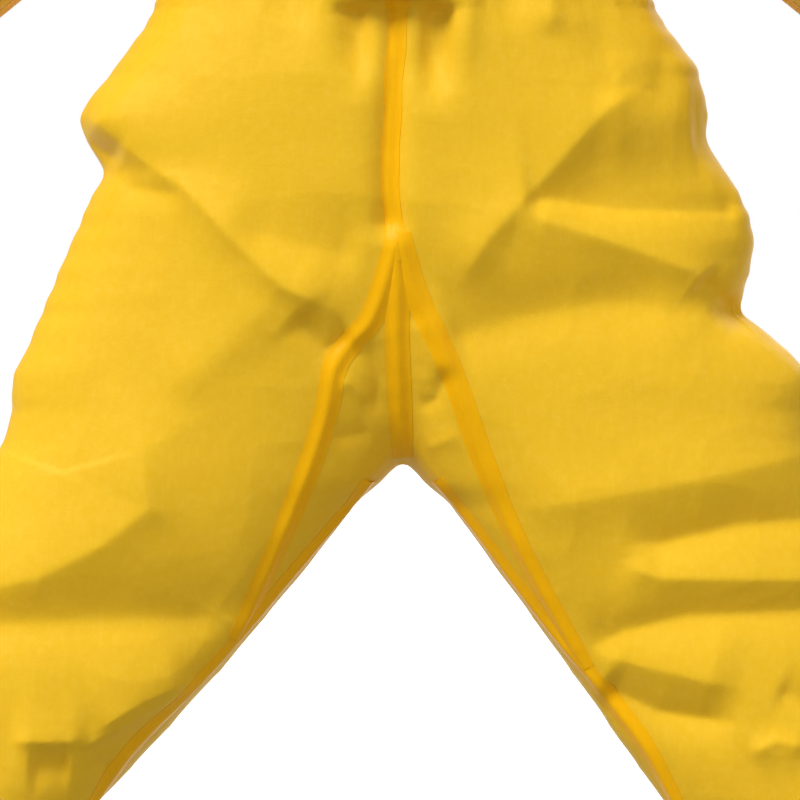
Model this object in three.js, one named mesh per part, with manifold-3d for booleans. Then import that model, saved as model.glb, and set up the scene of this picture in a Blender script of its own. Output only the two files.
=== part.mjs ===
// A hooded chemical protective coverall, standing as worn with the legs and arms spread.
// Millimetres, +Z up, the wearer faces -Y and the wearer's left is +X.
// The origin is the middle of the neck seam, where the shoulders carry the garment.
import * as THREE from 'three';
import { mergeVertices } from 'three/addons/utils/BufferGeometryUtils.js';
import Module from 'manifold-3d';

const wasm = await Module();
wasm.setup();

// ---------- driving dimensions ----------
const SEGMENTS = 20;            // points round each section
const FABRIC = 2.5;             // stand-in thickness of the coated fabric
const SEAM_GAP = 0.3;           // clearance on each side of a seam
const CRUMB_VOLUME = 30;        // cubic millimetres
const TAPE_WIDTH = 23;          // heat-sealed seam tape
const TAPE_THICKNESS = 1.0;
const TAPE_LIFT = 0.3;          // clearance between fabric and tape
const INSEAM_TAPE_START = 8;    // below the crotch, so the two legs' tapes can close up

const FRONT_Y = -118;           // the flat front that the zip lies in
const FRONT_CROWN = 4.5;        // how far the round sections would pass the flat front
const NECK_HALF_WIDTH = 95;
const NECK_HALF_DEPTH = 90;
const SHOULDER = [246, -78];    // top of the armhole, x and z
const ARMPIT = [297, -335];     // bottom of the armhole, x and z
const CHEST_HALF_WIDTH = 296;
const CHEST_DEPTH = 270;
const WAIST_Z = -388;
const WAIST_HALF_WIDTH = 226;
const HIP_Z = -525;
const HIP_HALF_WIDTH = 312;
const HIP_DEPTH = 246;
const CROTCH_Z = -880;

const LEG_ANGLE = 31;           // degrees from vertical
const LEG_LENGTH = 734;         // along the axis, from the crotch cut to the hem
const THIGH_WIDTH = 394;
const THIGH_DEPTH = 200;
const KNEE_AT = 400;
const KNEE_WIDTH = 290;
const KNEE_DEPTH = 164;
const ANKLE_WIDTH = 124;

const SLEEVE_ANGLE = 48;        // degrees from vertical
const SLEEVE_LENGTH = 640;
const SLEEVE_START = [258, -190];
const UPPER_ARM_WIDTH = 184;
const ELBOW_AT = 300;
const ELBOW_WIDTH = 144;
const WRIST_WIDTH = 74;

const HOOD_HEIGHT = 300;
const HOOD_WIDTH = 244;
const HOOD_DEPTH = 264;
const CROWN_HALF_WIDTH = 58;    // hood centre panel
const FACE_WIDTH = 156;
const FACE_HEIGHT = 212;
const FACE_CENTRE_Z = 132;

const HEM_BAND = 16;            // elastic casing at wrists and ankles
const FACE_BAND = 12;
const WAIST_BAND = 22;

const ZIP_BOTTOM_Z = -408;
const ZIP_HALF_WIDTH = 15;
const ZIP_TAPE_THICKNESS = 1;
const COIL_WIDTH = 2.6;
const COIL_DEPTH = 3;
const COIL_SLOT = 0.6;          // half the slit that the slider's bridge runs in
const SLIDER_WIDTH = 10;
const SLIDER_HEIGHT = 12;
const SLIDER_PLATE = 1.6;
const SLIDER_TOP_Z = -12;
const PULL_LENGTH = 27;
const PULL_WIDTH = 5.2;
const PULL_BARREL = 1.4;        // radius of the pull's rolled eye

const FLAP_TOP_Z = -56;
const FLAP_SEWN_X = 45;         // sewn edge, wearer's left
const FLAP_FREE_X = -39;
const FLAP_SLOPE = 16;          // width of the sloping edge that reaches down to the front
const FLAP_THICKNESS = 2;
const FLAP_ROOM = 7;            // inside height over the zip
const ADHESIVE_WIDTH = 16;

// Half of the crotch gusset's outline, x and height above the crotch, from the fork down to the inseam.
const GUSSET_EDGE = [[0, 213], [32, 168], [59, 115], [74, 60], [86, 8], [115, -62], [150, -166]];
const FORK_HEIGHT = GUSSET_EDGE[0][1];

const SIDES = [{ name: 'left', sign: 1 }, { name: 'right', sign: -1 }];

// ---------- materials ----------
const finish = (color, roughness, metalness = 0) =>
  new THREE.MeshStandardMaterial({ color, roughness, metalness });
const coatedFabric = finish(0xf0c432, 0.55);
const seamTape = finish(0xf0b200, 0.35);
const elasticBand = finish(0xe6bd3a, 0.8);
const zipCloth = finish(0xe3b728, 0.75);
const zipPlastic = finish(0xd9a91c, 0.4);
const adhesive = finish(0xf2efe6, 0.6);

const garment = new THREE.Group();

// ---------- solids from three.js geometry ----------
function solidFrom(geometry) {
  const bare = geometry.clone();
  bare.deleteAttribute('normal');
  bare.deleteAttribute('uv');
  const merged = mergeVertices(bare, 1e-4);
  return new wasm.Manifold(new wasm.Mesh({
    numProp: 3,
    vertProperties: new Float32Array(merged.attributes.position.array),
    triVerts: new Uint32Array(merged.index.array),
  }));
}

// Two curved skins cut by the same plane can leave crumbs too small to see, which are dropped.
function withoutCrumbs(solid) {
  const bodies = solid.decompose().filter((body) => body.volume() > CRUMB_VOLUME);
  return bodies.reduce((joined, body) => joined.add(body));
}

function addNode(name, solid, material) {
  const mesh = withoutCrumbs(solid).getMesh();
  const geometry = new THREE.BufferGeometry();
  geometry.setAttribute('position', new THREE.BufferAttribute(new Float32Array(mesh.vertProperties), 3));
  geometry.setIndex(new THREE.BufferAttribute(new Uint32Array(mesh.triVerts), 1));
  geometry.computeVertexNormals();
  const node = new THREE.Mesh(geometry, material);
  node.name = name;
  garment.add(node);
}

function box(x0, x1, y0, y1, z0, z1) {
  const geometry = new THREE.BoxGeometry(x1 - x0, y1 - y0, z1 - z0);
  geometry.translate((x0 + x1) / 2, (y0 + y1) / 2, (z0 + z1) / 2);
  return solidFrom(geometry);
}

// A prism that runs front to back through the garment, from an outline of x and z points.
function frontPrism(outline, fromY = -400, toY = 400) {
  const shape = new THREE.Shape(outline.map(([x, z]) => new THREE.Vector2(x, z)));
  const geometry = new THREE.ExtrudeGeometry(shape, { depth: toY - fromY, bevelEnabled: false });
  geometry.rotateX(Math.PI / 2);
  geometry.translate(0, toY, 0);
  return solidFrom(geometry);
}

// A strip of even width along a line of x and z points, as a prism from front to back.
function bandPrism(line, width, fromY, toY) {
  const curve = new THREE.SplineCurve(line.map(([x, z]) => new THREE.Vector2(x, z)));
  const count = 16;
  const left = [];
  const right = [];
  for (let i = 0; i <= count; i += 1) {
    const point = curve.getPoint(i / count);
    const along = curve.getTangent(i / count);
    left.push([point.x - along.y * width / 2, point.y + along.x * width / 2]);
    right.unshift([point.x + along.y * width / 2, point.y - along.x * width / 2]);
  }
  return frontPrism([...left, ...right], fromY, toY);
}

// A closed skin through oval sections. Each section has a centre, the direction of its width, and half sizes.
function loft(sections) {
  const points = [];
  for (const { centre, across, halfWidth, halfDepth } of sections) {
    for (let k = 0; k < SEGMENTS; k += 1) {
      const turn = (2 * Math.PI * k) / SEGMENTS;
      const wide = halfWidth * Math.cos(turn);
      points.push(
        centre[0] + across[0] * wide,
        centre[1] + halfDepth * Math.sin(turn),
        centre[2] + across[1] * wide,
      );
    }
  }
  const first = sections[0].centre;
  const last = sections[sections.length - 1].centre;
  points.push(...first, ...last);
  const faces = [];
  const ring = (i, k) => i * SEGMENTS + (k % SEGMENTS);
  for (let i = 0; i + 1 < sections.length; i += 1) {
    for (let k = 0; k < SEGMENTS; k += 1) {
      faces.push(ring(i, k), ring(i, k + 1), ring(i + 1, k + 1));
      faces.push(ring(i, k), ring(i + 1, k + 1), ring(i + 1, k));
    }
  }
  const bottom = sections.length * SEGMENTS;
  for (let k = 0; k < SEGMENTS; k += 1) {
    faces.push(bottom, ring(0, k + 1), ring(0, k));
    faces.push(bottom + 1, ring(sections.length - 1, k), ring(sections.length - 1, k + 1));
  }
  const geometry = new THREE.BufferGeometry();
  geometry.setAttribute('position', new THREE.BufferAttribute(new Float32Array(points), 3));
  geometry.setIndex(faces);
  return solidFrom(geometry);
}

// ---------- the shape of the garment ----------
const radians = THREE.MathUtils.degToRad;

// Unit directions in x and z: down a limb, and across it towards its outer or upper edge.
function limbAxes(angle, sign) {
  const down = [sign * Math.sin(radians(angle)), -Math.cos(radians(angle))];
  const across = [-down[1] * sign, down[0] * sign];
  return { down, across };
}

function limbPoint(start, axes, along, out = 0) {
  return [start[0] + axes.down[0] * along + axes.across[0] * out,
    start[1] + axes.down[1] * along + axes.across[1] * out];
}

function limb(sign, start, angle, stations, grow) {
  const axes = limbAxes(angle, sign);
  const sections = stations.map(([along, width, depth]) => {
    const [x, z] = limbPoint(start, axes, along);
    return {
      centre: [x, 0, z],
      across: axes.across.map((value) => value * sign),
      halfWidth: width / 2 + grow,
      halfDepth: depth / 2 + grow,
    };
  });
  return sections.reverse();
}

// The leg's cut with the trunk passes through the crotch, so its middle lies half a thigh out.
function legStart(sign) {
  const { across } = limbAxes(LEG_ANGLE, sign);
  return [across[0] * THIGH_WIDTH / 2, CROTCH_Z + across[1] * THIGH_WIDTH / 2];
}

function legSections(sign, grow, overrun) {
  const shinFull = KNEE_WIDTH - 66;
  const stations = [
    [-190, THIGH_WIDTH - 30, THIGH_DEPTH + 20],
    [-100, THIGH_WIDTH + 14, THIGH_DEPTH + 24],
    [0, THIGH_WIDTH, THIGH_DEPTH],
    [KNEE_AT * 0.38, THIGH_WIDTH - 0.4 * (THIGH_WIDTH - KNEE_WIDTH), THIGH_DEPTH - 14],
    [KNEE_AT * 0.72, THIGH_WIDTH - 0.75 * (THIGH_WIDTH - KNEE_WIDTH), KNEE_DEPTH + 8],
    [KNEE_AT, KNEE_WIDTH, KNEE_DEPTH],
    [KNEE_AT + 130, KNEE_WIDTH - 28, KNEE_DEPTH - 12],
    [LEG_LENGTH - 110, shinFull, KNEE_DEPTH - 28],
    [LEG_LENGTH - 50, shinFull - 36, KNEE_DEPTH - 44],
    [LEG_LENGTH - HEM_BAND, ANKLE_WIDTH, ANKLE_WIDTH - 8],
    [LEG_LENGTH + overrun, ANKLE_WIDTH, ANKLE_WIDTH - 8],
  ];
  return limb(sign, legStart(sign), LEG_ANGLE, stations, grow);
}

function sleeveStart(sign) {
  return [sign * SLEEVE_START[0], SLEEVE_START[1]];
}

function sleeveSections(sign, grow, overrun) {
  const foreFull = ELBOW_WIDTH - 30;
  const stations = [
    [-100, UPPER_ARM_WIDTH - 64, UPPER_ARM_WIDTH - 64],
    [0, UPPER_ARM_WIDTH, UPPER_ARM_WIDTH - 8],
    [ELBOW_AT * 0.4, UPPER_ARM_WIDTH - 16, UPPER_ARM_WIDTH - 20],
    [ELBOW_AT, ELBOW_WIDTH, ELBOW_WIDTH - 4],
    [ELBOW_AT + 150, ELBOW_WIDTH - 16, ELBOW_WIDTH - 20],
    [SLEEVE_LENGTH - 80, foreFull, foreFull - 4],
    [SLEEVE_LENGTH - 40, foreFull - 24, foreFull - 28],
    [SLEEVE_LENGTH - HEM_BAND, WRIST_WIDTH, WRIST_WIDTH - 4],
    [SLEEVE_LENGTH + overrun, WRIST_WIDTH, WRIST_WIDTH - 4],
  ];
  return limb(sign, sleeveStart(sign), SLEEVE_ANGLE, stations, grow);
}

// Trunk and hood sections are z, half width, and the places of the front and the back.
// Above the given height the surface faces upwards too, so growing it also lifts it.
function uprightSections(rows, grow, liftedFrom) {
  return rows.map(([z, halfWidth, front, back]) => ({
    centre: [0, (back + front - FRONT_CROWN) / 2, z >= liftedFrom ? z + grow : z],
    across: [1, 0],
    halfWidth: halfWidth + grow,
    halfDepth: (back - front + FRONT_CROWN) / 2 + grow,
  }));
}

function trunkSections(grow) {
  const chestBack = FRONT_Y + CHEST_DEPTH;
  const neckBack = FRONT_Y + 2 * NECK_HALF_DEPTH;
  const hipBack = FRONT_Y + HIP_DEPTH;
  return uprightSections([
    [CROTCH_Z + 40, 30, -38, 38],
    [CROTCH_Z + 90, 90, -76, 76],
    [CROTCH_Z + 170, 190, -106, 108],
    [CROTCH_Z + 270, HIP_HALF_WIDTH - 24, FRONT_Y, hipBack - 2],
    [HIP_Z, HIP_HALF_WIDTH, FRONT_Y, hipBack],
    [HIP_Z + 60, HIP_HALF_WIDTH - 30, FRONT_Y, hipBack - 4],
    [WAIST_Z - 12, WAIST_HALF_WIDTH + 4, FRONT_Y, 108],
    [WAIST_Z + 12, WAIST_HALF_WIDTH + 4, FRONT_Y, 108],
    [WAIST_Z + 60, CHEST_HALF_WIDTH - 30, FRONT_Y, chestBack - 18],
    [ARMPIT[1] + 60, CHEST_HALF_WIDTH, FRONT_Y, chestBack],
    [-200, CHEST_HALF_WIDTH - 12, FRONT_Y, chestBack - 8],
    [SHOULDER[1] - 52, SHOULDER[0] + 22, FRONT_Y, chestBack - 30],
    [SHOULDER[1], SHOULDER[0], FRONT_Y, chestBack - 54],
    [-60, SHOULDER[0] - 28, FRONT_Y, chestBack - 66],
    [-42, 172, FRONT_Y, neckBack + 16],
    [-20, 120, FRONT_Y, neckBack + 6],
    [0, NECK_HALF_WIDTH, FRONT_Y, neckBack],
  ], grow, SHOULDER[1] - 60);
}

function hoodSections(grow) {
  const back = FRONT_Y + 2 * NECK_HALF_DEPTH;
  const middle = (FRONT_Y + back) / 2 + 18;
  const half = HOOD_DEPTH / 2;
  return uprightSections([
    [-12, NECK_HALF_WIDTH + 6, FRONT_Y, back + 4],
    [0, NECK_HALF_WIDTH, FRONT_Y, back],
    [40, HOOD_WIDTH / 2 - 22, FRONT_Y - 4, back + 26],
    [110, HOOD_WIDTH / 2 - 4, middle - half + 4, middle + half - 4],
    [180, HOOD_WIDTH / 2, middle - half, middle + half],
    [HOOD_HEIGHT - 60, HOOD_WIDTH / 2 - 17, middle - half + 14, middle + half - 14],
    [HOOD_HEIGHT - 22, HOOD_WIDTH / 2 - 50, middle - half + 46, middle + half - 46],
    [HOOD_HEIGHT, 30, middle - 36, middle + 36],
  ], grow, HOOD_HEIGHT - 60);
}

function suitSolid(grow, overrun = 0) {
  let solid = keepBack(loft(trunkSections(grow)), FRONT_Y - grow).add(loft(hoodSections(grow)));
  for (const { sign } of SIDES) {
    solid = solid.add(loft(legSections(sign, grow, overrun)));
    solid = solid.add(loft(sleeveSections(sign, grow, overrun)));
  }
  return solid;
}

// ---------- cutting planes ----------
// Each plane keeps what lies further than the gap along its direction from its point.
function keepBeyond(solid, point, direction, gap = SEAM_GAP) {
  const offset = point[0] * direction[0] + point[1] * direction[1] + gap;
  return solid.trimByPlane([direction[0], 0, direction[1]], offset);
}
const reversed = (direction) => direction.map((value) => -value);
const keepAbove = (solid, z) => solid.trimByPlane([0, 0, 1], z);
const keepBelow = (solid, z) => solid.trimByPlane([0, 0, -1], -z);
const keepFront = (solid, y = 0) => solid.trimByPlane([0, -1, 0], -y);
const keepBack = (solid, y = 0) => solid.trimByPlane([0, 1, 0], y);
const keepSide = (solid, sign, gap = SEAM_GAP) => solid.trimByPlane([sign, 0, 0], gap);

function armholeDirection(sign) {
  const rise = SHOULDER[1] - ARMPIT[1];
  const lean = ARMPIT[0] - SHOULDER[0];
  const length = Math.hypot(rise, lean);
  return [sign * rise / length, lean / length];
}
const shoulderPoint = (sign) => [sign * SHOULDER[0], SHOULDER[1]];
const crotchPoint = [0, CROTCH_Z];

function trunkOnly(solid) {
  let kept = keepBelow(solid, -SEAM_GAP);
  for (const { sign } of SIDES) {
    kept = keepBeyond(kept, crotchPoint, reversed(limbAxes(LEG_ANGLE, sign).down));
    kept = keepBeyond(kept, shoulderPoint(sign), reversed(armholeDirection(sign)));
  }
  return kept;
}

// A line just under the sleeve parts what belongs to the arm from what belongs to the leg.
function armSide(solid, sign, sleeve) {
  const axes = limbAxes(SLEEVE_ANGLE, sign);
  const below = limbPoint(sleeveStart(sign), axes, 0, -UPPER_ARM_WIDTH / 2 - 25);
  return keepBeyond(solid, below, sleeve ? axes.across : reversed(axes.across), 0);
}

function legOnly(solid, sign, from, to) {
  const axes = limbAxes(LEG_ANGLE, sign);
  const start = legStart(sign);
  let kept = armSide(solid, sign, false);
  kept = keepBeyond(kept, limbPoint(start, axes, from), axes.down);
  kept = keepBeyond(kept, limbPoint(start, axes, to), reversed(axes.down));
  return keepSide(kept, sign);
}

function sleeveOnly(solid, sign, from, to) {
  const axes = limbAxes(SLEEVE_ANGLE, sign);
  const start = sleeveStart(sign);
  let kept = armSide(solid, sign, true);
  if (from === 0) {
    kept = keepBeyond(kept, shoulderPoint(sign), armholeDirection(sign));
  } else {
    kept = keepBeyond(kept, limbPoint(start, axes, from), axes.down);
  }
  return keepBeyond(kept, limbPoint(start, axes, to), reversed(axes.down));
}

const hoodOnly = (solid) => keepAbove(solid, SEAM_GAP);

// ---------- layers ----------
const outside = suitSolid(0);
const fabric = outside.subtract(suitSolid(-FABRIC, 20));
const hemLayer = suitSolid(1.2).subtract(suitSolid(-FABRIC, 20));
const tapeLayer = suitSolid(TAPE_LIFT + TAPE_THICKNESS).subtract(suitSolid(TAPE_LIFT, 20));
const halfTape = TAPE_WIDTH / 2;
const clearOfTape = halfTape + SEAM_GAP;

// ---------- crotch gusset ----------
function gussetLine(sign) {
  return GUSSET_EDGE.map(([x, height]) => [sign * x, CROTCH_Z + height]);
}

function gussetPrism(sign) {
  const tip = GUSSET_EDGE[GUSSET_EDGE.length - 1];
  const curve = new THREE.SplineCurve(gussetLine(sign).map(([x, z]) => new THREE.Vector2(x, z)));
  const outline = curve.getPoints(16).map((point) => [point.x, point.y]);
  outline.push([sign * (tip[0] - 40), CROTCH_Z + tip[1] - 30], [0, CROTCH_Z - 60]);
  return frontPrism(sign > 0 ? outline : outline.reverse());
}

for (const { name, sign } of SIDES) {
  const prism = gussetPrism(sign);
  const seam = bandPrism(gussetLine(sign), 2 * SEAM_GAP, -400, 400);
  const quarter = keepSide(trunkOnly(fabric), sign).intersect(prism).subtract(seam);
  addNode(`gusset_front_${name}`, keepFront(quarter, -SEAM_GAP), coatedFabric);
  addNode(`gusset_back_${name}`, keepBack(quarter, SEAM_GAP), coatedFabric);
  const legPart = legOnly(fabric, sign, 0, KNEE_AT).intersect(prism).subtract(seam);
  addNode(`gusset_leg_${name}`, legPart, coatedFabric);
}

// ---------- trunk, legs and sleeves ----------
const zipSlot = box(-ZIP_HALF_WIDTH - SEAM_GAP, ZIP_HALF_WIDTH + SEAM_GAP, -400, 0, ZIP_BOTTOM_Z, 0);

for (const { name, sign } of SIDES) {
  const prism = gussetPrism(sign);
  const seam = bandPrism(gussetLine(sign), 2 * SEAM_GAP, -400, 400);
  const half = keepSide(trunkOnly(fabric), sign).subtract(prism).subtract(seam).subtract(zipSlot);
  addNode(`trunk_${name}`, half, coatedFabric);
  const thigh = legOnly(fabric, sign, 0, KNEE_AT).subtract(prism).subtract(seam);
  addNode(`thigh_${name}`, thigh, coatedFabric);
  addNode(`lower_leg_${name}`, legOnly(fabric, sign, KNEE_AT, LEG_LENGTH - HEM_BAND), coatedFabric);
  addNode(`upper_sleeve_${name}`, sleeveOnly(fabric, sign, 0, ELBOW_AT), coatedFabric);
  addNode(`lower_sleeve_${name}`, sleeveOnly(fabric, sign, ELBOW_AT, SLEEVE_LENGTH - HEM_BAND), coatedFabric);
}

// ---------- elastic casings at the wrists, ankles and waist ----------
for (const { name, sign } of SIDES) {
  const ankle = legOnly(hemLayer, sign, LEG_LENGTH - HEM_BAND, LEG_LENGTH + SEAM_GAP);
  addNode(`ankle_elastic_${name}`, ankle, elasticBand);
  const wrist = sleeveOnly(hemLayer, sign, SLEEVE_LENGTH - HEM_BAND, SLEEVE_LENGTH + SEAM_GAP);
  addNode(`wrist_elastic_${name}`, wrist, elasticBand);
}
const waistEdge = FLAP_SEWN_X + 6;
const waistOpening = box(-waistEdge, waistEdge, -400, 0, WAIST_Z - 50, WAIST_Z + 50);
const waistRing = keepBelow(keepAbove(trunkOnly(tapeLayer), WAIST_Z - WAIST_BAND / 2),
  WAIST_Z + WAIST_BAND / 2);
const backClear = box(-clearOfTape, clearOfTape, 0, 400, WAIST_Z - 50, WAIST_Z + 50);
for (const { name, sign } of SIDES) {
  const half = keepSide(waistRing, sign).subtract(waistOpening).subtract(backClear);
  addNode(`waist_elastic_${name}`, half, elasticBand);
}

// ---------- hood ----------
function faceOutline(grow) {
  const outline = [];
  for (let k = 0; k < 32; k += 1) {
    const turn = (2 * Math.PI * k) / 32;
    outline.push([(FACE_WIDTH / 2 + grow) * Math.cos(turn),
      FACE_CENTRE_Z + (FACE_HEIGHT / 2 + grow) * Math.sin(turn)]);
  }
  return outline;
}
const hoodFabric = hoodOnly(fabric).subtract(frontPrism(faceOutline(FACE_BAND + SEAM_GAP), -400, -10));
const chinZone = box(-400, 400, -400, -10, -10, FACE_CENTRE_Z);
const crown = keepBeyond(keepBeyond(hoodFabric, [-CROWN_HALF_WIDTH, 0], [1, 0]),
  [CROWN_HALF_WIDTH, 0], [-1, 0]);
addNode('hood_crown', crown.subtract(chinZone), coatedFabric);
for (const { name, sign } of SIDES) {
  const sidePanel = keepBeyond(hoodFabric, [sign * CROWN_HALF_WIDTH, 0], [sign, 0], 0);
  const chin = keepSide(hoodFabric, sign)
    .intersect(box(-CROWN_HALF_WIDTH - 0.1, CROWN_HALF_WIDTH + 0.1, -400, -10 - SEAM_GAP, 0, FACE_CENTRE_Z));
  addNode(`hood_${name}`, sidePanel.add(chin), coatedFabric);
}
const faceRing = frontPrism(faceOutline(FACE_BAND), -400, -12).subtract(frontPrism(faceOutline(0), -400, 0));
addNode('face_elastic', hoodOnly(hemLayer).intersect(faceRing), elasticBand);

// ---------- seam tapes ----------
const tapeOnTrunk = trunkOnly(tapeLayer);
const centreStrip = (solid) => keepBeyond(keepBeyond(solid, [-halfTape, 0], [1, 0], 0),
  [halfTape, 0], [-1, 0], 0);
const zipEnd = ZIP_BOTTOM_Z - 6;
const forkTop = CROTCH_Z + FORK_HEIGHT - 14;
const frontCentre = keepFront(centreStrip(tapeOnTrunk), -SEAM_GAP);
const backCentre = keepBack(centreStrip(tapeOnTrunk), SEAM_GAP);
addNode('front_rise_tape', keepAbove(keepBelow(frontCentre, zipEnd), forkTop), seamTape);
addNode('gusset_front_tape', keepBelow(frontCentre, forkTop - SEAM_GAP), seamTape);
addNode('back_rise_tape', keepAbove(keepBelow(backCentre, -TAPE_WIDTH - SEAM_GAP), forkTop), seamTape);
addNode('gusset_back_tape', keepBelow(backCentre, forkTop - SEAM_GAP), seamTape);

for (const { name, sign } of SIDES) {
  const band = bandPrism(gussetLine(sign), TAPE_WIDTH, -400, 400);
  const onTrunk = tapeOnTrunk.intersect(band).trimByPlane([sign, 0, 0], clearOfTape);
  addNode(`gusset_side_tape_front_${name}`, keepFront(onTrunk, -clearOfTape), seamTape);
  addNode(`gusset_side_tape_back_${name}`, keepBack(onTrunk, clearOfTape), seamTape);
  const onLeg = legOnly(tapeLayer, sign, 0, KNEE_AT).intersect(band);
  addNode(`leg_gusset_tape_front_${name}`, keepFront(onLeg, -clearOfTape), seamTape);
  addNode(`leg_gusset_tape_back_${name}`, keepBack(onLeg, clearOfTape), seamTape);

  const axes = limbAxes(LEG_ANGLE, sign);
  const innerSide = reversed(axes.across);
  const inseam = (from, to) => keepFront(keepBack(keepBeyond(
    legOnly(tapeLayer, sign, from, to), legStart(sign), innerSide), -halfTape), halfTape);
  addNode(`inseam_tape_upper_${name}`, inseam(INSEAM_TAPE_START, KNEE_AT), seamTape);
  addNode(`inseam_tape_lower_${name}`, inseam(KNEE_AT, LEG_LENGTH - HEM_BAND - SEAM_GAP), seamTape);

  const armAxes = limbAxes(SLEEVE_ANGLE, sign);
  const under = (from, to) => keepFront(keepBack(keepBeyond(
    sleeveOnly(tapeLayer, sign, from, to), sleeveStart(sign), reversed(armAxes.across)), -halfTape), halfTape);
  addNode(`underarm_tape_upper_${name}`, under(0, ELBOW_AT), seamTape);
  addNode(`underarm_tape_lower_${name}`, under(ELBOW_AT, SLEEVE_LENGTH - HEM_BAND - SEAM_GAP), seamTape);

  const armhole = armholeDirection(sign);
  const inward = [shoulderPoint(sign)[0] - armhole[0] * TAPE_WIDTH, SHOULDER[1] - armhole[1] * TAPE_WIDTH];
  const nearArmhole = keepAbove(keepSide(tapeOnTrunk, sign, 60), ARMPIT[1] - 2 * TAPE_WIDTH);
  addNode(`armhole_tape_${name}`, keepBeyond(nearArmhole, inward, armhole), seamTape);

  const hoodTape = hoodOnly(tapeLayer).subtract(frontPrism(faceOutline(FACE_BAND + SEAM_GAP), -400, -10));
  const overSeam = keepBeyond(keepBeyond(hoodTape, [sign * (CROWN_HALF_WIDTH - halfTape), 0], [sign, 0], 0),
    [sign * (CROWN_HALF_WIDTH + halfTape), 0], [-sign, 0], 0);
  addNode(`hood_tape_${name}`, overSeam.subtract(chinZone), seamTape);
}
const neckTape = keepAbove(tapeOnTrunk, -TAPE_WIDTH);
const neckClear = box(-ZIP_HALF_WIDTH - SEAM_GAP, ZIP_HALF_WIDTH + SEAM_GAP, -400, 0, -60, 10);
addNode('neck_tape', neckTape.subtract(neckClear), seamTape);

// ---------- front zip ----------
const zipY = FRONT_Y + COIL_DEPTH / 2;
const zipTopZ = -SEAM_GAP * 2;
const coilFront = zipY - COIL_DEPTH / 2;
const coilBack = zipY + COIL_DEPTH / 2;
for (const { name, sign } of SIDES) {
  const strip = (near, far, y0, y1, z0, z1) =>
    box(Math.min(sign * near, sign * far), Math.max(sign * near, sign * far), y0, y1, z0, z1);
  const coilEdge = COIL_SLOT + COIL_WIDTH;
  addNode(`zip_coil_${name}`, strip(COIL_SLOT, coilEdge, coilFront, coilBack, ZIP_BOTTOM_Z + 4, zipTopZ),
    zipPlastic);
  addNode(`zip_tape_${name}`, strip(coilEdge + SEAM_GAP, ZIP_HALF_WIDTH, zipY - ZIP_TAPE_THICKNESS / 2,
    zipY + ZIP_TAPE_THICKNESS / 2, ZIP_BOTTOM_Z + SEAM_GAP, zipTopZ), zipCloth);
}
addNode('zip_bottom_stop', box(-COIL_SLOT - COIL_WIDTH, COIL_SLOT + COIL_WIDTH, coilFront - 0.6, coilBack,
  ZIP_BOTTOM_Z + SEAM_GAP, ZIP_BOTTOM_Z + 4 - SEAM_GAP), zipPlastic);

// The slider's two plates are joined by a thin bridge that runs in the slit between the coils.
const plateFront = coilFront - SEAM_GAP - SLIDER_PLATE;
const plateBack = coilBack + SEAM_GAP + SLIDER_PLATE;
const sliderBottomZ = SLIDER_TOP_Z - SLIDER_HEIGHT;
const pullAxisY = plateFront - SEAM_GAP - PULL_BARREL;
const pullAxisZ = SLIDER_TOP_Z - 3.5;
const half = SLIDER_WIDTH / 2;
const bridge = COIL_SLOT - SEAM_GAP;
let slider = box(-half, half, plateFront, coilFront - SEAM_GAP, sliderBottomZ, SLIDER_TOP_Z)
  .add(box(-half, half, coilBack + SEAM_GAP, plateBack, sliderBottomZ, SLIDER_TOP_Z))
  .add(box(-bridge, bridge, plateFront + 0.5, plateBack - 0.5, SLIDER_TOP_Z - 4, SLIDER_TOP_Z));
for (const { sign } of SIDES) {
  const near = sign * (PULL_WIDTH / 2 + SEAM_GAP);
  const far = sign * half;
  slider = slider.add(box(Math.min(near, far), Math.max(near, far), pullAxisY - PULL_BARREL, plateFront + 0.5,
    pullAxisZ - 2, pullAxisZ + 2));
}
addNode('zip_slider', slider, zipPlastic);

const barrel = new THREE.CylinderGeometry(PULL_BARREL, PULL_BARREL, PULL_WIDTH, 16);
barrel.rotateZ(Math.PI / 2);
barrel.translate(0, pullAxisY, pullAxisZ);
const tab = box(-PULL_WIDTH / 2, PULL_WIDTH / 2, pullAxisY - 0.7, pullAxisY + 0.7,
  pullAxisZ - PULL_LENGTH, pullAxisZ);
addNode('zip_pull', solidFrom(barrel).add(tab), zipPlastic);

// ---------- storm flap over the zip ----------
// A shallow channel: the left edge is sewn to the front, the right edge lies on the adhesive strip.
const flapBackY = FRONT_Y - FLAP_ROOM;
const flapFrontY = flapBackY - FLAP_THICKNESS;
const flapBottomZ = ZIP_BOTTOM_Z - 12;
const sewnY = FRONT_Y - SEAM_GAP;
const freeY = FRONT_Y - TAPE_LIFT - TAPE_THICKNESS - SEAM_GAP;
const flapSection = new THREE.Shape([
  [FLAP_SEWN_X, sewnY], [FLAP_SEWN_X - FLAP_SLOPE, flapFrontY], [FLAP_FREE_X + FLAP_SLOPE, flapFrontY],
  [FLAP_FREE_X, freeY], [FLAP_FREE_X + 5, freeY], [FLAP_FREE_X + FLAP_SLOPE + 1.5, flapBackY],
  [FLAP_SEWN_X - FLAP_SLOPE - 1.5, flapBackY], [FLAP_SEWN_X - 5, sewnY],
].map(([x, y]) => new THREE.Vector2(x, y)));
const flapLength = FLAP_TOP_Z - flapBottomZ;
const flapGeometry = new THREE.ExtrudeGeometry(flapSection, { depth: flapLength, bevelEnabled: false });
flapGeometry.translate(0, 0, flapBottomZ);
addNode('storm_flap', solidFrom(flapGeometry), coatedFabric);
const adhesiveZone = box(FLAP_FREE_X - ADHESIVE_WIDTH / 2, FLAP_FREE_X + ADHESIVE_WIDTH / 2, -400, 0,
  flapBottomZ + 4, FLAP_TOP_Z - 4);
addNode('flap_adhesive_strip', tapeOnTrunk.intersect(adhesiveZone), adhesive);

export default garment;
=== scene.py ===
import math

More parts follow.
